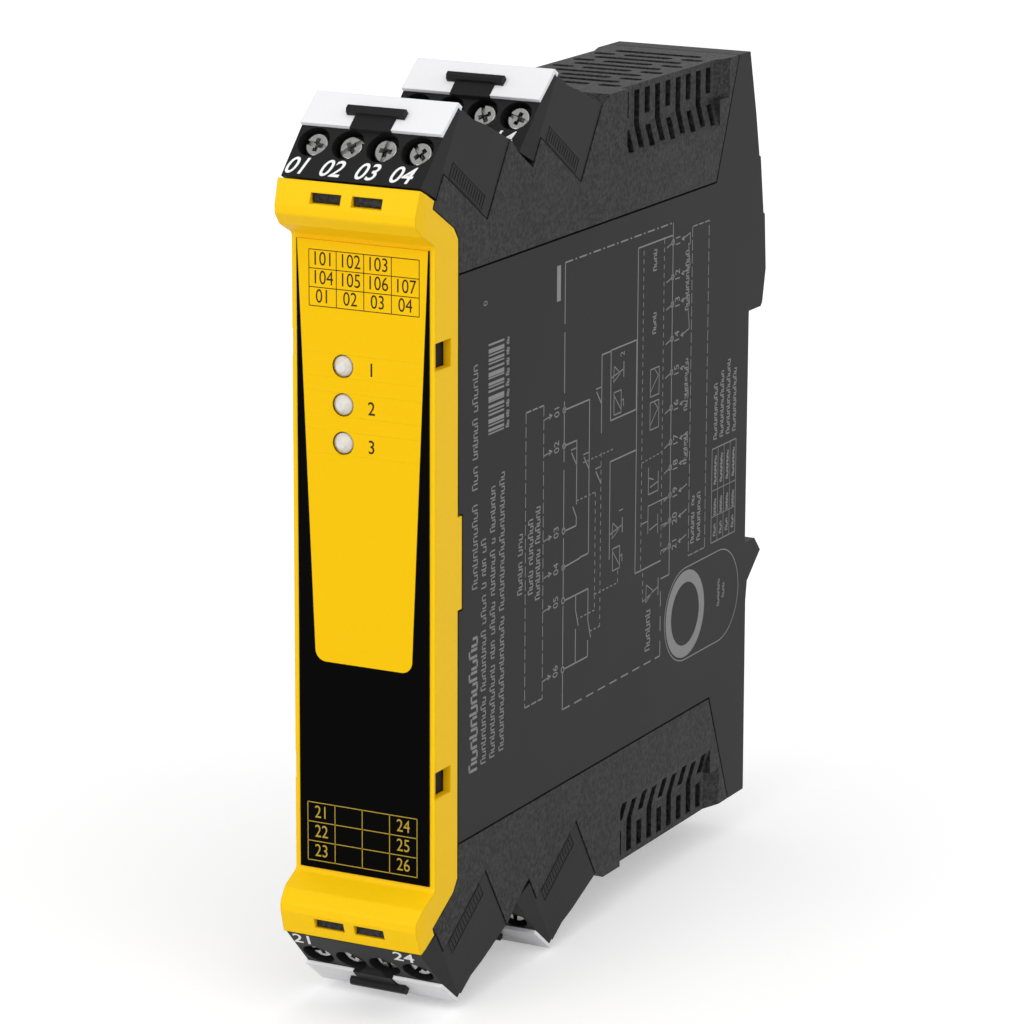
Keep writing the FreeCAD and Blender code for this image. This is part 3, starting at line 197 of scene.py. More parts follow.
def prism(mesh, place, outline, height=ink_height):
    """A flat closed plate with an outline in the plane of a placement matrix."""
    lower = [mesh.verts.new(place @ Vector((u, v, 0))) for u, v in outline]
    upper = [mesh.verts.new(place @ Vector((u, v, height))) for u, v in outline]
    mesh.faces.new(lower[::-1])
    mesh.faces.new(upper)
    for i in range(len(outline)):
        j = (i + 1) % len(outline)
        mesh.faces.new((lower[i], lower[j], upper[j], upper[i]))


def stroke(mesh, place, start, end, width=hair):
    """A straight line of print."""
    start, end = Vector(start), Vector(end)
    side = (end - start).orthogonal().normalized() * width / 2
    prism(mesh, place, [start - side, end - side, end + side, start + side])


def dashes(mesh, place, start, end, beats, width=hair):
    """A broken line of print: dash and gap lengths in turn."""
    start, end = Vector(start), Vector(end)
    run = (end - start).length
    ahead = (end - start) / run
    at, beat = 0.0, 0
    while at < run:
        stop = min(at + beats[beat % len(beats)], run)
        if beat % 2 == 0 and stop - at > width / 2:
            stroke(mesh, place, start + ahead * at, start + ahead * stop, width)
        at, beat = stop, beat + 1


def frame_line(mesh, place, low, high, width=hair, beats=None):
    """A rectangle of print between two corners."""
    corners = [low, (high[0], low[1]), high, (low[0], high[1]), low]
    for start, end in zip(corners, corners[1:]):
        if beats:
            dashes(mesh, place, start, end, beats, width)
        else:
            stroke(mesh, place, start, end, width)


def ring(mesh, place, centre, radius, width=hair, sides=20):
    """A circle of print."""
    for i in range(sides):
        turns = [2 * math.pi * (i + k) / sides for k in (0, 1)]
        ways = [Vector((math.cos(turn), math.sin(turn))) for turn in turns]
        inner = [Vector(centre) + way * (radius - width) for way in ways]
        outer = [Vector(centre) + way * radius for way in ways]
        prism(mesh, place, [inner[0], outer[0], outer[1], inner[1]])


def figures(mesh, place, centre, number, size, wide=1.0, slant=0.0, weight=0.0):
    """Plain figures of a given height of type, centred on a point."""
    curve = bpy.data.curves.new("figures", "FONT")
    curve.body = number
    curve.size = size
    curve.align_x = "CENTER"
    curve.align_y = "CENTER"
    curve.shear = slant
    curve.extrude = ink_height / 2
    curve.resolution_u = 5
    curve.offset = size * weight
    thing = bpy.data.objects.new("figures", curve)
    bpy.context.scene.collection.objects.link(thing)
    shape = bpy.data.meshes.new_from_object(thing)
    move = Matrix.Translation((*centre, ink_height / 2)) @ Matrix.Diagonal((wide, 1, 1, 1))
    shape.transform(place @ move)
    mesh.from_mesh(shape)
    bpy.data.objects.remove(thing)
    bpy.data.curves.remove(curve)
    bpy.data.meshes.remove(shape)


def words(mesh, place, start, lengths, height, gap, line=hair):
    """A line of small print: each word is a row of plain boxes, open at the top or the foot."""
    u, v = start
    beat = 0
    for length in lengths:
        count = max(1, round(length / (height * box_pitch)))
        pitch = length / count
        for k in range(count):
            left = u + pitch * k
            right = left + pitch * box_wide
            tall = height * box_heights[beat % len(box_heights)]
            beat += 1
            bar = v + tall * (beat % 2)
            stroke(mesh, place, (left, v), (left, v + tall), line)
            stroke(mesh, place, (right, v), (right, v + tall * box_right), line)
            stroke(mesh, place, (left, bar), (right, bar), line)
        u += length + gap


def finish_piece(name, mesh, material, body):
    """Turns a bmesh into an object with a material that rides on a body."""
    bmesh.ops.remove_doubles(mesh, verts=mesh.verts, dist=1e-7)
    bmesh.ops.recalc_face_normals(mesh, faces=mesh.faces)
    data = bpy.data.meshes.new(name)
    mesh.to_mesh(data)
    mesh.free()
    data.materials.append(material)
    piece = bpy.data.objects.new(name, data)
    bpy.context.scene.collection.objects.link(piece)
    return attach(piece, body)


def plane(origin, right, up):
    """A placement whose axes are right, up and outwards."""
    right, up = Vector(right).normalized(), Vector(up).normalized()
    out = right.cross(up)
    return Matrix.Translation(origin) @ Matrix((right, up, out)).transposed().to_4x4()


# the plan is drawn in (y, z) millimetres from the rail seat; its words are turned to read upwards
plan = plane((side_x, 0, 0), (0, 1, 0), (0, 0, 1))
upward = plane((side_x, 0, 0), (0, 0, 1), (0, -1, 0))
side_mark = bmesh.new()
thin, fine = hair * 0.8, hair * 0.7


def at(*pairs):
    """Points from millimetres."""
    return [Vector(pair) * mm for pair in pairs]


def draw(points, width=hair, beats=None):
    """Lines of the plan through points, whole or broken."""
    points = at(*points)
    for start, end in zip(points, points[1:]):
        if beats:
            dashes(side_mark, plan, start, end, beats, width)
        else:
            stroke(side_mark, plan, start, end, width)


def label(level, depth, number, size):
    """Figures of the plan, read upwards."""
    figures(side_mark, upward, at((level, depth))[0], number, size * mm, 0.85)


def small_print(level, depth, lengths, height, gap=0.8, line=hair):
    """A line of words on the shell, read upwards."""
    lengths = [length * mm for length in lengths]
    words(side_mark, upward, at((level, depth))[0], lengths, height * mm, gap * mm, line)


# dash and gap lengths
dash_dot = [2.4 * mm, 0.8 * mm, 0.5 * mm, 0.8 * mm]
dash = [1.6 * mm, 0.45 * mm]
wide_dash = [2.4 * mm, 1.5 * mm]
long_dash = [9.0 * mm, 1.2 * mm]
fine_dash = [0.7 * mm, 0.6 * mm]

# outer frame of the plan
plan_front, plan_rear, plan_top, plan_low = -63.6, -27.8, 37.2, -29.6
inner_rear, rear_foot = -30.7, -17.4
draw([(plan_front, plan_top), (plan_rear, plan_top)], beats=dash_dot)
draw([(plan_front, plan_top), (plan_front, plan_low)], beats=long_dash)
draw([(plan_front, plan_low), (inner_rear, plan_low)], beats=wide_dash)
draw([(inner_rear, plan_low), (inner_rear, -18.0)], beats=wide_dash)
draw([(plan_rear, plan_top), (plan_rear, rear_foot), (inner_rear, rear_foot)])

# terminals at its rear: a ring, a plain number, a lead and an arrow each
terminal_ring = 0.55 * mm
rear_terminals = (34.2, 28.9, 24.7, 19.4, 14.2, 8.7, 3.35, -0.6, -4.9, -8.9, -12.9)
for number, level in enumerate(rear_terminals, start=11):
    ring(side_mark, plan, at((plan_rear, level))[0], terminal_ring)
    label(level, 26.0, str(number), 2.3)
    draw([(-30.0, level - 0.5), (plan_rear - 0.5, level - 0.1)], thin)
    draw([(-24.2, level), (-21.8, level + 0.5)], thin)
    prism(side_mark, plan, at((-23.9, level - 0.4), (-24.9, level), (-23.9, level + 0.4)))
bracket_pairs = zip(rear_terminals[0:9:2], rear_terminals[1:9:2])
for high, low in bracket_pairs:
    draw([(-21.8, high + 0.5), (-21.8, high - 1.2), (-22.4, high - 1.2)], thin)
    draw([(-22.4, high - 1.0), (-21.8, low + 1.2), (-21.8, low + 0.5)], thin)

# terminals at its front
front_terminals = (15.5, 10.2, -2.5, -8.0, -13.0, -23.5)
for number, level in enumerate(front_terminals, start=1):
    ring(side_mark, plan, at((plan_front, level))[0], terminal_ring)
    label(level + 0.3, 65.9, f"{number:02d}", 2.2)
    draw([(-70.1, level - 0.2), (-68.0, level)], thin)
    prism(side_mark, plan, at((-68.4, level - 0.45), (-67.3, level), (-68.4, level + 0.45)))

# inner lines and boxes of the plan
draw([(-30.8, 35.2), (-30.8, -14.2)], thin, fine_dash)
draw([(-37.8, 34.6), (-37.8, -14.5)], thin, fine_dash)
draw([(-39.7, 35.3), (-39.7, -14.5)])
draw([(-39.7, 35.3), (plan_rear, 35.3)])
draw([(-39.7, -14.5), (-30.8, -14.5)])
draw([(-39.9, 4.65), (-48.5, 4.65), (-48.5, -10.3)])
frame_line(side_mark, plan, *at((-48.5, 10.9), (-39.9, 21.5)))
frame_line(side_mark, plan, *at((-21.0, -16.0), (-15.1, 35.5)), thin, dash)

# a coil, a lamp and the number of each relay
for number, foot in ((2, 10.9), (1, -12.9)):
    frame_line(side_mark, plan, *at((-47.4, foot + 0.6), (-45.0, foot + 4.0)), thin)
    draw([(-47.4, foot + 3.6), (-45.0, foot + 1.0)], fine)
    draw([(-45.0, foot + 2.3), (-44.2, foot + 2.5), (-44.2, foot + 1.4)], thin)
    draw([(-47.6, foot + 5.6), (-45.4, foot + 6.6), (-47.4, foot + 8.0), (-47.6, foot + 5.6)], fine)
    draw([(-48.5, foot + 6.4), (-44.4, foot + 7.0)], thin)
    draw([(-44.2, foot + 5.8), (-44.2, foot + 8.2)])
    label(foot + 9.4, 44.6, str(number), 1.9)

# input circuits
for level in (13.9, 8.8):
    frame_line(side_mark, plan, *at((-35.1, level - 2.1), (-32.1, level + 2.1)), thin)
    draw([(-35.1, level - 1.4), (-32.4, level + 0.8), (-33.8, level + 2.1)], fine)
draw([(-37.8, 2.2), (-30.8, 2.5)], fine, fine_dash)
for points in (
    [(-35.4, -9.3), (-35.4, -5.0), (plan_rear - 0.5, -5.0)],
    [(-35.4, 1.0), (-35.4, -3.2), (-31.9, -3.2)],
    [(-37.8, -7.3), (-35.4, -7.3)],
    [(-34.8, -8.8), (-32.0, -8.4)],
    [(-32.0, -9.9), (-32.0, -6.9)],
    [(-34.8, -2.2), (-32.0, -1.8)],
    [(-32.0, -3.2), (-32.0, -0.2)],
    [(-35.4, -0.6), (-33.6, -1.2)],
    [(-30.8, -9.0), (plan_rear - 0.5, -9.0)],
    [(-30.8, -13.0), (plan_rear - 0.5, -13.0)],
):
    draw(points, thin)

# supply lamp of the plan, with its word
draw([(-37.0, -15.0), (-37.0, -20.0)], thin, fine_dash)
draw([(-35.9, -20.0), (-33.4, -18.6), (-35.7, -17.2), (-35.9, -20.0)], fine)
draw([(-37.0, -19.6), (-31.6, -18.4)], thin)
draw([(-31.6, -19.8), (-31.6, -17.0)])
small_print(-27.6, 34.3, [6.6], 1.6)

# contact wires of the plan
for points in (
    [(plan_front + 0.5, 15.5), (-55.45, 15.5), (-55.45, -7.7), (-58.2, -7.7)],
    [(plan_front + 0.5, 10.2), (-59.5, 10.2), (-59.5, 0.6)],
    [(-63.1, -2.6), (-59.5, -2.6), (-59.5, -1.3), (-60.7, 0.5)],
    [(-63.1, -8.0), (-58.2, -7.8)],
    [(-63.1, -13.1), (-55.45, -13.1), (-55.45, -17.9), (-54.5, -20.8)],
    [(-59.5, -13.1), (-59.5, -15.4), (-58.6, -18.0)],
    [(-59.5, -18.3), (-59.5, -23.5)],
    [(-63.1, -23.5), (-55.45, -23.5), (-55.45, -21.0)],
    [(-48.6, 21.4), (-51.5, 21.4), (-51.5, 9.6)],
):
    draw(points)
for y, z in ((-55.45, 5.0), (-51.5, 2.0), (-59.5, 6.5), (-51.5, 14.0)):
    draw([(y, z), (y - 1.7, z + 2.2)])
    draw([(y - 1.9, z + 2.6), (y, z + 2.6)], thin)

# broken lines that tie the contacts to their coils
for points in (
    [(-51.5, 6.7), (-51.5, -19.8), (-54.9, -19.8)],
    [(-59.5, 1.1), (-53.3, 1.1), (-53.3, -16.9), (-58.6, -16.9)],
    [(-53.3, -14.5), (-45.6, -14.5), (-45.6, -12.6)],
):
    draw(points, thin, fine_dash)
draw([(-57.4, 6.4), (-47.0, 6.4)], fine, fine_dash)
ring(side_mark, plan, at((-53.3, -14.5))[0], 0.3 * mm)
for y in (-75.65, -70.1):
    draw([(y, 17.5), (y, -26.2)], thin, dash)
for z in (17.5, -26.2):
    draw([(-75.65, z), (-70.1, z)], hair, dash)

# lines of small print, from the shell's front edge to its rear
small_print(-31.3, 90.3, [20], 2.3, line=hair * 2)
for level, depth, height, lengths in (
    (-4.7, 90.3, 1.5, [12.4]),
    (9.6, 90.3, 1.5, [3.6, 6.0, 6.9]),
    (-31.0, 87.7, 1.4, [10.0, 9.0, 4.4, 1.0, 2.6, 2.2]),
    (-30.8, 85.0, 1.4, [13.8, 2.8, 4.9, 6.8, 0.9, 6.8]),
    (-30.5, 82.2, 1.4, [20.0, 20.4]),
    (-8.8, 76.6, 1.4, [5.0, 3.4]),
    (-9.5, 73.3, 1.4, [3.6, 6.9]),
    (-10.8, 71.1, 1.4, [7.6, 5.6]),
    (31.0, 33.4, 1.15, [3.4]),
    (21.4, 33.4, 1.15, [3.4]),
    (23.0, 22.1, 1.15, [9.4]),
    (7.4, 22.1, 1.15, [8.2]),
    (-1.0, 22.1, 1.15, [4.8]),
    (0.6, 11.2, 1.15, [9.0]),
    (0.6, 8.9, 1.15, [10.6]),
    (0.6, 6.6, 1.15, [12.0]),
    (0.6, 4.3, 1.15, [10.2]),
):
    small_print(level, depth, lengths, height)
small_print(-14.2, 19.1, [5.0, 1.6], 1.15, 1.0)
small_print(-14.2, 16.9, [7.8], 1.15)

# a plain figure, a strip of bars with its digits as boxes, and a plain field
figures(side_mark, upward, at((35.6, 88.0))[0], "0", 1.6 * mm)
strip_low, strip_high = 16.7, 30.0
level, beat = strip_low, 0
while level < strip_high:
    thick = (0.22, 0.42, 0.22, 0.62, 0.3)[beat % 5]
    draw([(-87.1, level), (-82.4, level)], thick * mm)
    level += thick + (0.3, 0.24, 0.4)[beat % 3]
    beat += 1
small_print(strip_low, 80.9, [1.0] * 9, 0.9, 0.5)
draw([(-65.6, 31.9), (-65.6, 37.1)], 1.2 * mm)

# table of four columns
table_low, table_high = (-12.8, -15.9), (-4.0, -0.9)
frame_line(side_mark, plan, *at(table_low, table_high), thin)
for y in (-10.6, -8.4, -6.2):
    draw([(y, table_low[1]), (y, table_high[1])], hair * 0.6)
for z in (-11.8, -7.6):
    draw([(table_low[0], z), (table_high[0], z)], hair * 0.6)
for depth in (11.2, 9.0, 6.8, 4.6):
    small_print(-14.9, depth, [2.0, 2.6], 0.8, 1.4)
    small_print(-6.6, depth, [4.6], 0.8)

# stadium outline in the lower corner, with a plain ring and two lines of words in it
stadium_level, stadium_round = -25.05, 7.35
stadium_front, stadium_rear = -21.85, -9.75
stadium_steps = 24
for y, sense in ((stadium_front, -1), (stadium_rear, 1)):
    points = []
    for i in range(stadium_steps + 1):
        turn = math.pi * i / stadium_steps
        reach, rise = math.sin(turn) * stadium_round, math.cos(turn) * stadium_round
        points.append((y + sense * reach, stadium_level + rise))
    draw(points, thin)
for z in (stadium_level - stadium_round, stadium_level + stadium_round):
    draw([(stadium_front, z), (stadium_rear, z)], thin)
ring(side_mark, plan, at((stadium_front, stadium_level))[0], 6.9 * mm, 1.9 * mm, 40)
small_print(-26.6, 9.4, [4.4], 0.8, line=fine)
small_print(-25.6, 7.6, [2.4], 0.8, line=fine)

laser_mark = moulded(
    "polyamide_66_laser_foamed", mark_grey,
    rough=0.7, grain=mark_grain, depth=0.002 * mm, index=1.5, shine=0.2, specks=0.05,
    drift=0.05,
)
finish_piece("side_print", side_mark, laser_mark, "housing")

# Main board: glass-epoxy laminate with green solder mask, standing along the left shell. The
# mask gives the eye a deep, glossy green that hides the woven glass under it.
mask_green = "#0F4A2A"
board_weave = 0.5 * mm
solder_mask = moulded(
    "epoxy_glass_solder_mask", mask_green,
    rough=0.3, grain=board_weave, depth=0.003 * mm, index=1.55, shine=0.5,
)
dress(solder_mask, "main_board")

# Relays: two sealed safety relays soldered to the board, in moulded PBT cases. The eye gets a
# warm, matt ivory.
relay_ivory = "#D9D4C6"
ivory_pbt = moulded(
    "pbt_ivory", relay_ivory,
    rough=0.42, grain=0.3 * mm, depth=0.003 * mm, index=1.55, shine=0.4,
)
dress(ivory_pbt, "relay_1", "relay_2")

# Capacitors: aluminium cans in shrunk sleeves. The sleeve gives the eye a smooth blue-black with
# a clear highlight.
sleeve_black = "#17181C"
shrunk_sleeve = moulded(
    "pet_shrink_sleeve", sleeve_black,
    rough=0.28, grain=0.3 * mm, depth=0.002 * mm, index=1.57, shine=0.5,
)
dress(shrunk_sleeve, "capacitors")

# Pin headers: black acetal strips at the bottom of the plug seats, with tinned bronze pins. The
# strip is smooth and slightly waxy, and the tin is a soft grey metal with faint handling marks.
header_black = "#1A1A1B"
tin_grey = "#C9C6BE"


def plated(name, code, rough, mark, depth):
    """Plated metal with fine handling marks of a given size."""
    material, tree, out = new_material(name)
    place = add(tree, "ShaderNodeTexCoord").outputs["Object"]
    marks = add(
        tree,
        "ShaderNodeTexNoise",
        {"Vector": place, "Scale": 1 / mark, "Detail": 4.0, "Distortion": 0.8},
    )
    base = Vector(linear(code)[:3])
    tone = add(tree, "ShaderNodeValToRGB", {"Fac": marks.outputs["Fac"]})
    tone.color_ramp.elements[0].color = (*(base * 0.8), 1)
    tone.color_ramp.elements[1].color = (*base, 1)
    gloss = add(
        tree,
        "ShaderNodeMapRange",
        {"Value": marks.outputs["Fac"], "To Min": rough - 0.06, "To Max": rough + 0.12},
    )
    relief = add(tree, "ShaderNodeBump", {"Height": marks.outputs["Fac"], "Distance": depth})
    surface = add(
        tree,
        "ShaderNodeBsdfPrincipled",
        {
            "Base Color": tone.outputs["Color"],
            "Metallic": 1.0,
            "Roughness": gloss.outputs["Result"],
            "Normal": relief.outputs["Normal"],
        },
    )
    tree.links.new(surface.outputs["BSDF"], out.inputs["Surface"])
    return material


smooth_acetal = moulded(
    "acetal_black", header_black,
    rough=0.36, grain=0.3 * mm, depth=0.003 * mm, index=1.48, shine=0.4,
)
tinned_bronze = plated(
    "bronze_tin_plated", tin_grey,
    rough=0.3, mark=0.4 * mm, depth=0.003 * mm,
)
dress(smooth_acetal, "pin_headers")
dress(tinned_bronze, "header_pins")

# Terminal blocks: two grained blocks clipped to the ends of the shells, polyamide 66 from a
# coarsely spark-eroded tool. The eye gets a sandy charcoal with fine lighter specks. The real
# grain is about 0.15 mm; it is drawn at 0.55 mm, because it would not show otherwise.
block_charcoal = "#1F1F20"
spark_grain = 0.55 * mm
grained_polyamide = moulded(
    "polyamide_66_spark_eroded", block_charcoal,
    rough=0.6, grain=spark_grain, depth=0.09 * mm, index=1.53, shine=0.25, specks=0.95,
    edge=0.15 * mm,
)
dress(grained_polyamide, "terminal_block_upper", "terminal_block_lower")

# Status lamps: three clear-tipped light guides of diffusing polycarbonate that stand in holes of
# the cover. The eye gets a milky, pearly dome with a small highlight.
lamp_milk = "#DEDBD5"
milky_polycarbonate = moulded(
    "polycarbonate_diffusing", lamp_milk,
    rough=0.22, grain=0.6 * mm, depth=0.004 * mm, index=1.585, shine=0.6, specks=0.04,
    drift=0.02, edge=0.5 * mm,
)
dress(milky_polycarbonate, "status_lamps")

# Front cover: signal-yellow ABS, moulded in a polished tool and clipped over the front. The eye
# gets an even, saturated yellow with a soft sheen and slightly brighter broken edges.
cover_yellow = "#FDCB00"
satin_abs = moulded(
    "abs_satin_signal_yellow", cover_yellow,
    rough=0.5, grain=0.3 * mm, depth=0.002 * mm, index=1.54, shine=0.15, specks=0.012,
    drift=0.015, edge=0.25 * mm,
)
dress(satin_abs, "front_cover")

# Front label: black polyester film glued on the cover, screen printed with a tapered yellow
# field, black tables and figures on it, and a yellow table below. The eye gets a deep even black
# against a flat yellow.
film_black = "#030303"
field_yellow = "#F7C500"
ink_black = "#2A1D00"
line_yellow = "#B79A2A"
label_low, label_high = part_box("front_label")
printed_film = moulded(
    "polyester_film_black", film_black,
    rough=0.5, grain=0.15 * mm, depth=0.0005 * mm, index=1.6, shine=0.02, specks=0.02,
    drift=0.02,
)
field_ink = moulded(
    "screen_ink_yellow", field_yellow,
    rough=0.6, grain=0.15 * mm, depth=0.0005 * mm, index=1.5, shine=0.1, specks=0.01,
    drift=0.01,
)
dark_ink = moulded(
    "screen_ink_black", ink_black,
    rough=0.5, grain=0.15 * mm, depth=0.0005 * mm, index=1.5, shine=0.2, specks=0.03,
    drift=0.03,
)
pale_ink = moulded(
    "screen_ink_dull_yellow", line_yellow,
    rough=0.5, grain=0.15 * mm, depth=0.0005 * mm, index=1.5, shine=0.3, specks=0.03,
    drift=0.03,
)
dress(printed_film, "front_label")

# the tapered field, with holes left round the lamps
field_top, field_bottom, field_round = label_high.z / mm, -14.7, 1.7
half_top, half_bottom = 10.28, 7.75
front = plane((0, label_low.y, 0), (1, 0, 0), (0, 0, 1))
on_field = plane((0, label_low.y - ink_height, 0), (1, 0, 0), (0, 0, 1))
lamp_low, lamp_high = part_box("status_lamps")
lamp_count, lamp_foot = 3, 3.6 * mm
lamp_pitch = (lamp_high.z - lamp_low.z - lamp_foot) / (lamp_count - 1) / mm
lamp_side, lamp_first = -3.1, 28.0
lamp_levels = [lamp_first - i * lamp_pitch for i in range(lamp_count)]
lamp_reach, lamp_gap = 1.5, 0.15
hole_edge = lamp_reach + lamp_gap
corner_steps, notch_steps = 8, 12
field_mesh = bmesh.new()
corner = [(half_bottom, field_bottom + field_round)]
for i in range(1, corner_steps + 1):
    turn = math.pi / 2 * i / corner_steps
    x = half_bottom - field_round * (1 - math.cos(turn))
    z = field_bottom + field_round * (1 - math.sin(turn))
    corner.append((x, z))


def edge_at(level):
    """Half width of the field at a height."""
    share = (field_top - level) / (field_top - field_bottom - field_round)
    return half_top + (half_bottom - half_top) * share


def band(low, high):
    """The part of the field between two heights."""
    wide, narrow = edge_at(high), edge_at(low)
    prism(field_mesh, front, at((-narrow, low), (narrow, low), (wide, high), (-wide, high)))


# bands between the lamps, and two half bands with a round notch beside each lamp
upper = field_top
for level in lamp_levels:
    band(level + hole_edge, upper)
    for sense in (-1, 1):
        notch = []
        for i in range(1, notch_steps):
            turn = math.pi * (i / notch_steps - 0.5)
            x = lamp_side + sense * math.cos(turn) * hole_edge
            z = level + math.sin(turn) * hole_edge
            notch.append((x, z))
        far_low, far_high = edge_at(level - hole_edge), edge_at(level + hole_edge)
        outline = [
            (lamp_side, level - hole_edge),
            *notch,
            (lamp_side, level + hole_edge),
            (sense * far_high, level + hole_edge),
            (sense * far_low, level - hole_edge),
        ]
        prism(field_mesh, front, at(*outline))
    upper = level - hole_edge
half = edge_at(upper)
mirrored = [(-x, z) for x, z in reversed(corner)]
prism(field_mesh, front, at((half, upper), *corner, *mirrored, (-half, upper)))

# the field runs over the film's cut top edge
cut_edge = plane((0, 0, label_high.z), (1, 0, 0), (0, 1, 0))
field_reach = half_top * mm
prism(
    field_mesh,
    cut_edge,
    [
        (-field_reach, label_low.y - ink_height),
        (field_reach, label_low.y - ink_height),
        (field_reach, label_high.y),
        (-field_reach, label_high.y),
    ],
)
finish_piece("label_field", field_mesh, field_ink, "cover")

# upper table and the numbers of the lamps
columns, rows = 4, 3


def table(mesh, place, low, high, line):
    """The lines of a table between two corners."""
    for i in range(columns + 1):
        u = low[0] + (high[0] - low[0]) * i / columns
        stroke(mesh, place, *at((u, low[1]), (u, high[1])), line)
    for i in range(rows + 1):
        v = low[1] + (high[1] - low[1]) * i / rows
        stroke(mesh, place, *at((low[0], v), (high[0], v)), line)


def cell(low, high, row, column):
    """The middle of a table's cell."""
    u = low[0] + (high[0] - low[0]) * (column + 0.5) / columns
    v = high[1] - (high[1] - low[1]) * (row + 0.5) / rows
    return at((u, v))[0]


table_ink = bmesh.new()
upper_low, upper_high = (-8.4, 36.1), (8.9, 44.0)
table(table_ink, on_field, upper_low, upper_high, 0.12 * mm)
upper_rows = (("101", "102", "103"), ("104", "105", "106", "107"), ("01", "02", "03", "04"))
for row, numbers in enumerate(upper_rows):
    for column, number in enumerate(numbers):
        spot = cell(upper_low, upper_high, row, column)
        figures(table_ink, on_field, spot, number, 2.75 * mm, 0.84)
for number, level in enumerate(lamp_levels, start=1):
    spot = at((1.4, level - 0.2))[0]
    figures(table_ink, on_field, spot, str(number), 2.7 * mm, 0.9, weight=0.006)
finish_piece("label_figures", table_ink, dark_ink, "cover")

# lower table, with figures in its outer columns
lower_ink = bmesh.new()
lower_low, lower_high = (-9.15, -44.3), (8.5, -35.7)
table(lower_ink, front, lower_low, lower_high, 0.13 * mm)
for row, numbers in enumerate((("21", "24"), ("22", "25"), ("23", "26"))):
    for column, number in zip((0, columns - 1), numbers):
        spot = cell(lower_low, lower_high, row, column)
        figures(lower_ink, front, spot, number, 2.6 * mm, 0.86)
finish_piece("label_lower_table", lower_ink, pale_ink, "cover")

# Rail foot and its spring: a black acetal slider that hooks behind the rail, pushed by a zigzag
# strip of spring steel. The acetal is smooth and waxy, and the strip is bright rolled steel. The
# strip's lower end stands on the housing.
foot_black = "#1C1C1D"
strip_steel = "#B4B4B2"
slider_acetal = moulded(
    "acetal_black_slider", foot_black,
    rough=0.36, grain=0.3 * mm, depth=0.003 * mm, index=1.48, shine=0.4,
)
rolled_steel = plated(
    "spring_steel_rolled", strip_steel,
    rough=0.28, mark=0.4 * mm, depth=0.003 * mm,
)
dress(slider_acetal, "rail_foot")
dress(rolled_steel, "foot_spring")
spring = frame["nodes"]["foot_spring"]
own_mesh(spring)

# Plugs: four pluggable terminal blocks in black polyamide 66 from a smooth tool. The eye gets an
# even near-black with a low sheen. Each carries white printed numbers under its screw holes and
# a patch of fine grip ribs on both cheeks.
plug_black = "#1D1D1E"
number_white = "#F4F4F4"
seats = ("upper_front", "upper_rear", "lower_front", "lower_rear")
tilt = math.radians(33)
poles = 4
cheek_x = 11.15 * mm
rib_near, rib_far = 2.4 * mm, 13.4 * mm
rib_foot, rib_top, rib_gap = 0.5 * mm, 2.7 * mm, 0.3 * mm
rib_width, rib_height, rib_count = 0.2 * mm, 0.06 * mm, 14
number_lines = {
    "upper_front": ("01", "02", "03", "04"),
    "upper_rear": ("11", "12", "13", "14"),
    "lower_front": ("21", "24"),
    "lower_rear": ("31", "34"),
}
number_places = {4: (-9.2, -3.8, 1.7, 7.1), 2: (-9.2, 7.1)}
number_level, ray_start = -2.35 * mm, 30 * mm
number_size, number_wide, number_slant, number_weight = 3.9 * mm, 0.9, 0.3, 0.012
smooth_polyamide = moulded(
    "polyamide_66_black", plug_black,
    rough=0.5, grain=0.3 * mm, depth=0.006 * mm, index=1.53, shine=0.14, specks=0.08,
    edge=0.18 * mm,
)
pad_white = moulded(
    "pad_ink_white", number_white,
    rough=0.5, grain=0.2 * mm, depth=0.0005 * mm, index=1.5, shine=0.3, specks=0.01,
    drift=0.01,
)
seat_tips = {"front": Vector((0, -87.5, 47.2)) * mm, "rear": Vector((0, -58.7, 48.0)) * mm}


def seat_axes(seat):
    """Origin of a plug's seat, the way out of it, and the way across the wires."""
    side = 1 if seat.startswith("upper") else -1
    tip = seat_tips[seat.split("_")[1]].copy()
    tip.z *= side
    out = Vector((0, -math.cos(tilt), side * math.sin(tilt)))
    across = Vector((0, math.sin(tilt), side * math.cos(tilt)))
    return tip, out, across


for seat in seats:
    dress(smooth_polyamide, f"plug_{seat}")
    tip, out, across = seat_axes(seat)
    skin = BVHTree.FromObject(frame["nodes"][f"plug_{seat}"], bpy.context.evaluated_depsgraph_get())

    # grip ribs in a thin rim, on both cheeks
    ribs = bmesh.new()
    for sense in (-1, 1):
        turned = sense * out.cross(across).x
        cheek = plane(tip + Vector((sense * cheek_x, 0, 0)), out * turned, across)
        cheek = cheek @ Matrix.Diagonal((1, 1, rib_height / ink_height, 1))
        low, high = sorted((rib_near * turned, rib_far * turned))
        frame_line(ribs, cheek, (low, rib_foot), (high, rib_top), rib_width)
        for i in range(1, rib_count):
            u = low + (high - low) * i / rib_count
            stroke(ribs, cheek, (u, rib_foot + rib_gap), (u, rib_top - rib_gap), rib_width)
    finish_piece(f"plug_grip_{seat}", ribs, smooth_polyamide, f"plug_{seat}")

    # numbers, each laid on the screw face under its hole
    numbers = bmesh.new()
    line = number_lines[seat]
    for x, number in zip(number_places[len(line)], line):
        start = tip + out * ray_start + across * number_level + Vector((x * mm, 0, 0))
        spot, normal, _, _ = skin.ray_cast(start, -out)
        face = plane(spot, (1, 0, 0), normal.cross(Vector((1, 0, 0))))
        figures(numbers, face, (0, 0), number, number_size, number_wide, number_slant, number_weight)
    finish_piece(f"plug_numbers_{seat}", numbers, pad_white, f"plug_{seat}")

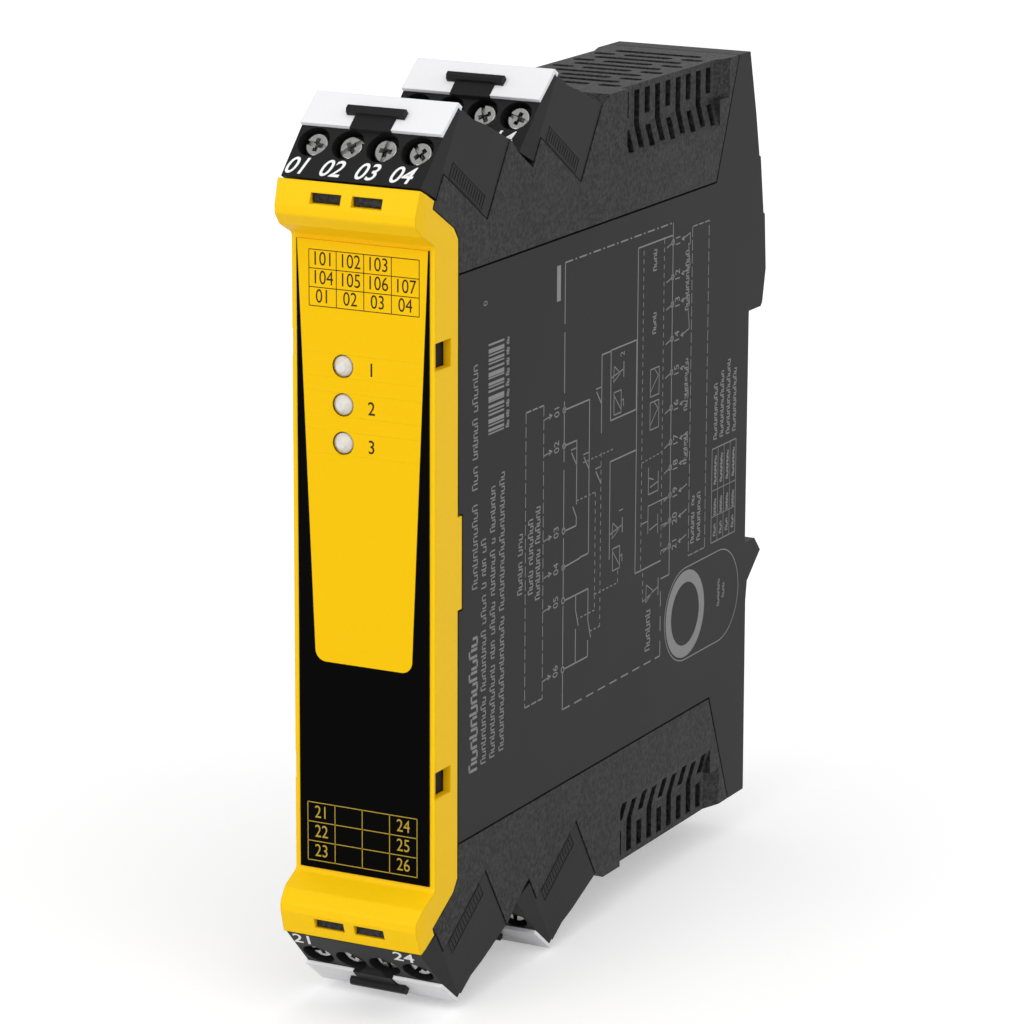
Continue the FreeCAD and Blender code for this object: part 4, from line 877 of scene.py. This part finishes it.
# Contacts and clamp cages: tinned bronze busbars, and nickel-plated steel cages that pull the
# wire up against them. The nickel gives the eye a warmer, brighter metal than the tin.
nickel_warm = "#CFC9BC"
nickel_steel = plated(
    "steel_nickel_plated", nickel_warm,
    rough=0.24, mark=0.6 * mm, depth=0.003 * mm,
)
for seat in seats:
    dress(tinned_bronze, f"contacts_{seat}")
    dress(nickel_steel, *[f"cage_{seat}_{i}" for i in range(1, poles + 1)])

# Clamp screws: zinc-plated steel, cold headed with a combined slot and cross, then rolled with a
# fine thread. The eye gets a bright, slightly mottled grey metal with a dark, deep recess.
zinc_bright = "#BDBDBB"
thread_pitch = 0.45 * mm
thread_depth = 0.2 * mm
screw_sides = 36
turn_steps, rim_steps = 6, 4
rim_round = 0.25 * mm
point_taper, point_long = 1.6, 0.2 * mm
slot_wide, slot_deep = 0.62 * mm, 0.75 * mm
cross_reach, cross_wide, cross_deep = 1.15 * mm, 0.7 * mm, 1.1 * mm
cross_taper, cross_above = 0.35, 0.3 * mm
cross_turn = 2
zinc_steel = plated(
    "steel_zinc_plated", zinc_bright,
    rough=0.2, mark=0.35 * mm, depth=0.006 * mm,
)


def screw_blank(top, under, end, head, shank):
    """Head and threaded shank of a screw along +Z, as one closed turned mesh."""
    rows = [(end, 0.0, 0), (end, shank - thread_depth * point_taper, 0)]
    count = int((under - end - thread_pitch) / (thread_pitch / turn_steps))
    for i in range(1, count):
        rows.append((end + point_long + i * thread_pitch / turn_steps, shank, 1))
    rows += [(under, shank, 0), (under, head, 0)]
    for i in range(rim_steps + 1):
        turn = math.pi / 2 * i / rim_steps
        z = top - rim_round * (1 - math.sin(turn))
        rows.append((z, head - rim_round * (1 - math.cos(turn)), 0))
    rows.append((top, 0.0, 0))
    mesh = bmesh.new()
    loops = []
    for z, radius, cut in rows:
        loop = []
        for k in range(screw_sides if radius else 1):
            share = k / screw_sides
            swing = abs(((z / thread_pitch - share) % 1) * 2 - 1)
            out = radius - cut * thread_depth * swing
            turn = 2 * math.pi * share
            loop.append(mesh.verts.new((math.cos(turn) * out, math.sin(turn) * out, z)))
        loops.append(loop)
    for low, high in zip(loops, loops[1:]):
        for k in range(screw_sides):
            ring_low = [low[k % len(low)], low[(k + 1) % len(low)]]
            ring_high = [high[(k + 1) % len(high)], high[k % len(high)]]
            corners = ring_low + ring_high
            mesh.faces.new([v for i, v in enumerate(corners) if v not in corners[:i]])
    bmesh.ops.recalc_face_normals(mesh, faces=mesh.faces)
    return mesh


def slot_cutter(top, head):
    """The bar that cuts the slot across the head."""
    mesh = bmesh.new()
    place = Matrix.Translation((0, 0, top - slot_deep))
    long, half = head * 1.2, slot_wide / 2
    prism(mesh, place, [(-half, -long), (half, -long), (half, long), (-half, long)], slot_deep * 2)
    return mesh


def cross_cutter(top, turn):
    """A tapered bar that cuts one arm of the cross."""
    mesh = bmesh.new()
    spin = Matrix.Rotation(turn, 4, "Z")
    wide = cross_wide / 2
    sections = []
    ends = ((top - cross_deep, cross_reach * cross_taper), (top + cross_above, cross_reach))
    for z, reach in ends:
        corners = ((-wide, -reach), (wide, -reach), (wide, reach), (-wide, reach))
        sections.append([mesh.verts.new(spin @ Vector((u, v, z))) for u, v in corners])
    low, high = sections
    mesh.faces.new(low[::-1])
    mesh.faces.new(high)
    for k in range(4):
        mesh.faces.new((low[k], low[(k + 1) % 4], high[(k + 1) % 4], high[k]))
    return mesh


def cut_screw(top, under, end, head, shank):
    """The finished screw as a mesh, with its recess cut by booleans."""
    things = []
    for name, mesh in (
        ("blank", screw_blank(top, under, end, head, shank)),
        ("slot", slot_cutter(top, head)),
        ("cross_along", cross_cutter(top, math.radians(cross_turn))),
        ("cross_over", cross_cutter(top, math.radians(cross_turn + 90))),
    ):
        bmesh.ops.recalc_face_normals(mesh, faces=mesh.faces)
        data = bpy.data.meshes.new(name)
        mesh.to_mesh(data)
        mesh.free()
        thing = bpy.data.objects.new(name, data)
        bpy.context.scene.collection.objects.link(thing)
        things.append(thing)
    blank = things[0]
    for cutter in things[1:]:
        cut = blank.modifiers.new(cutter.name, "BOOLEAN")
        cut.operation = "DIFFERENCE"
        cut.solver = "EXACT"
        cut.object = cutter
    bpy.context.view_layer.update()
    shaped = blank.evaluated_get(bpy.context.evaluated_depsgraph_get())
    result = bpy.data.meshes.new_from_object(shaped)
    for thing in things:
        bpy.data.objects.remove(thing)
    return result


# one screw is made in its own axes, sized by the first CAD screw, and copied to every pole
joints = {joint["child"]: joint for joint in frame["joints"]}
first = f"screw_{seats[0]}_1"
origin, out = Vector(joints[first]["pos_m"]), seat_axes(seats[0])[1]
heights, widths = [], []
for vertex in frame["nodes"][first].data.vertices:
    height = (vertex.co - origin).dot(out)
    heights.append(height)
    widths.append((vertex.co - origin - out * height).length)
head_radius = max(widths)
shank_radius = 1.2 * mm
head_levels = [h for h, w in zip(heights, widths) if w > head_radius * 0.9]
screw_mesh = cut_screw(max(heights), min(head_levels), min(heights), head_radius, shank_radius)
first_turn, pole_turn, seat_turn = 35, 47, 29
for seat_index, seat in enumerate(seats):
    for number in range(1, poles + 1):
        node = f"screw_{seat}_{number}"
        origin, out = Vector(joints[node]["pos_m"]), seat_axes(seat)[1]
        # each screw stands at its own angle, as driven
        angle = math.radians(first_turn + pole_turn * number + seat_turn * seat_index)
        turn = out.to_track_quat("Z", "Y").to_matrix().to_4x4()
        data = screw_mesh.copy()
        data.transform(Matrix.Translation(origin) @ turn @ Matrix.Rotation(angle, 4, "Z"))
        data.materials.clear()
        data.materials.append(zinc_steel)
        piece = bpy.data.objects.new(f"clamp_screw_{seat}_{number}", data)
        bpy.context.scene.collection.objects.link(piece)
        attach(piece, node)
        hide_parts(node)

# Marker plates: thin white polyamide 66 plates that slide under the crest of each plug. The eye
# gets a clean, slightly cool white with no gloss.
marker_white = "#F0F0F2"
white_polyamide = moulded(
    "polyamide_66_white", marker_white,
    rough=0.5, grain=0.2 * mm, depth=0.001 * mm, index=1.53, shine=0.3, specks=0.008,
    drift=0.01, edge=0.2 * mm,
)
dress(white_polyamide, *[f"marker_{seat}" for seat in seats])

# Studio: a matt white floor of painted board under the relay, an even sky and four wide, soft
# lights. The floor shines a little for the camera, which gives the eye a clean white with a soft
# shadow.
floor_reach = 6.0
floor_gap, floor_thick = 0.5 * mm, 2 * mm
floor_white = "#E2E2E2"
floor_lift = 0.36
floor_mesh = bmesh.new()
floor_place = Matrix.Translation((0, 0, cad_box[0].z - floor_gap - floor_thick))
near, far = -floor_reach, floor_reach
prism(floor_mesh, floor_place, [(near, near), (far, near), (far, far), (near, far)], floor_thick)
floor_data = bpy.data.meshes.new("floor")
floor_mesh.to_mesh(floor_data)
floor_mesh.free()
floor = bpy.data.objects.new("floor", floor_data)
bpy.context.scene.collection.objects.link(floor)
floor_paint, tree, out = new_material("floor_matt_white")
ray = add(tree, "ShaderNodeLightPath")
seen = add(
    tree,
    "ShaderNodeMath",
    {0: ray.outputs["Is Camera Ray"], 1: ray.outputs["Is Glossy Ray"]},
    operation="MAXIMUM",
)
seen = add(
    tree,
    "ShaderNodeMath",
    {0: seen.outputs["Value"], 1: ray.outputs["Is Transmission Ray"]},
    operation="MAXIMUM",
)
lift = add(tree, "ShaderNodeMath", {0: seen.outputs["Value"], 1: floor_lift}, operation="MULTIPLY")
paint = add(tree, "ShaderNodeBsdfDiffuse", {"Color": linear(floor_white)})
glow = add(tree, "ShaderNodeEmission", {"Strength": lift.outputs["Value"]})
both = add(tree, "ShaderNodeAddShader", {0: paint.outputs["BSDF"], 1: glow.outputs["Emission"]})
tree.links.new(both.outputs["Shader"], out.inputs["Surface"])
floor_data.materials.append(floor_paint)

sky_level, sky_top = 0.5, 0.62
world = bpy.data.worlds.new("studio")
world.use_nodes = True
bpy.context.scene.world = world
tree = world.node_tree
way = add(tree, "ShaderNodeTexCoord").outputs["Generated"]
way_up = add(tree, "ShaderNodeSeparateXYZ", {"Vector": way})
sky_strength = add(
    tree,
    "ShaderNodeMapRange",
    {"Value": way_up.outputs["Z"], "To Min": sky_level, "To Max": sky_top},
)
sky = tree.nodes["Background"]
sky.inputs["Color"].default_value = (1, 1, 1, 1)
tree.links.new(sky_strength.outputs["Result"], sky.inputs["Strength"])


def soft_light(name, strength, spread, azimuth, height):
    """A far, wide light from an azimuth and a height in degrees."""
    data = bpy.data.lights.new(name, "SUN")
    data.energy = strength
    data.angle = math.radians(spread)
    thing = bpy.data.objects.new(name, data)
    turn, rise = math.radians(azimuth), math.radians(height)
    source = Vector(
        (math.sin(turn) * math.cos(rise), -math.cos(turn) * math.cos(rise), math.sin(rise))
    )
    thing.rotation_euler = source.to_track_quat("Z", "Y").to_euler()
    bpy.context.scene.collection.objects.link(thing)


soft_light("key", 1.1, 50, -8, 24)
soft_light("side", 0.45, 60, 75, 28)
soft_light("top", 0.35, 70, 40, 70)
soft_light("rim", 0.7, 35, 184, 20)

# Camera: a long lens on a full-frame body, a little above the relay and to its right. It stands
# far enough away to keep the relay's upright edges nearly parallel.
azimuth, elevation, roll = math.radians(27.5), math.radians(14.088), math.radians(0.254)
aim = Vector((-0.152, -57.94, -2.274)) * mm
distance = 678.4 * mm
lens, sensor = 161.6, 36
back = Vector(
    (
        math.sin(azimuth) * math.cos(elevation),
        -math.cos(azimuth) * math.cos(elevation),
        math.sin(elevation),
    )
)
camera_data = bpy.data.cameras.new("camera")
camera_data.lens = lens
camera_data.sensor_width = sensor
camera = bpy.data.objects.new("camera", camera_data)
turn = back.to_track_quat("Z", "Y").to_matrix().to_4x4() @ Matrix.Rotation(roll, 4, "Z")
camera.matrix_world = Matrix.Translation(aim + back * distance) @ turn
bpy.context.scene.collection.objects.link(camera)
bpy.context.scene.camera = camera
bpy.context.scene.view_settings.view_transform = "Standard"
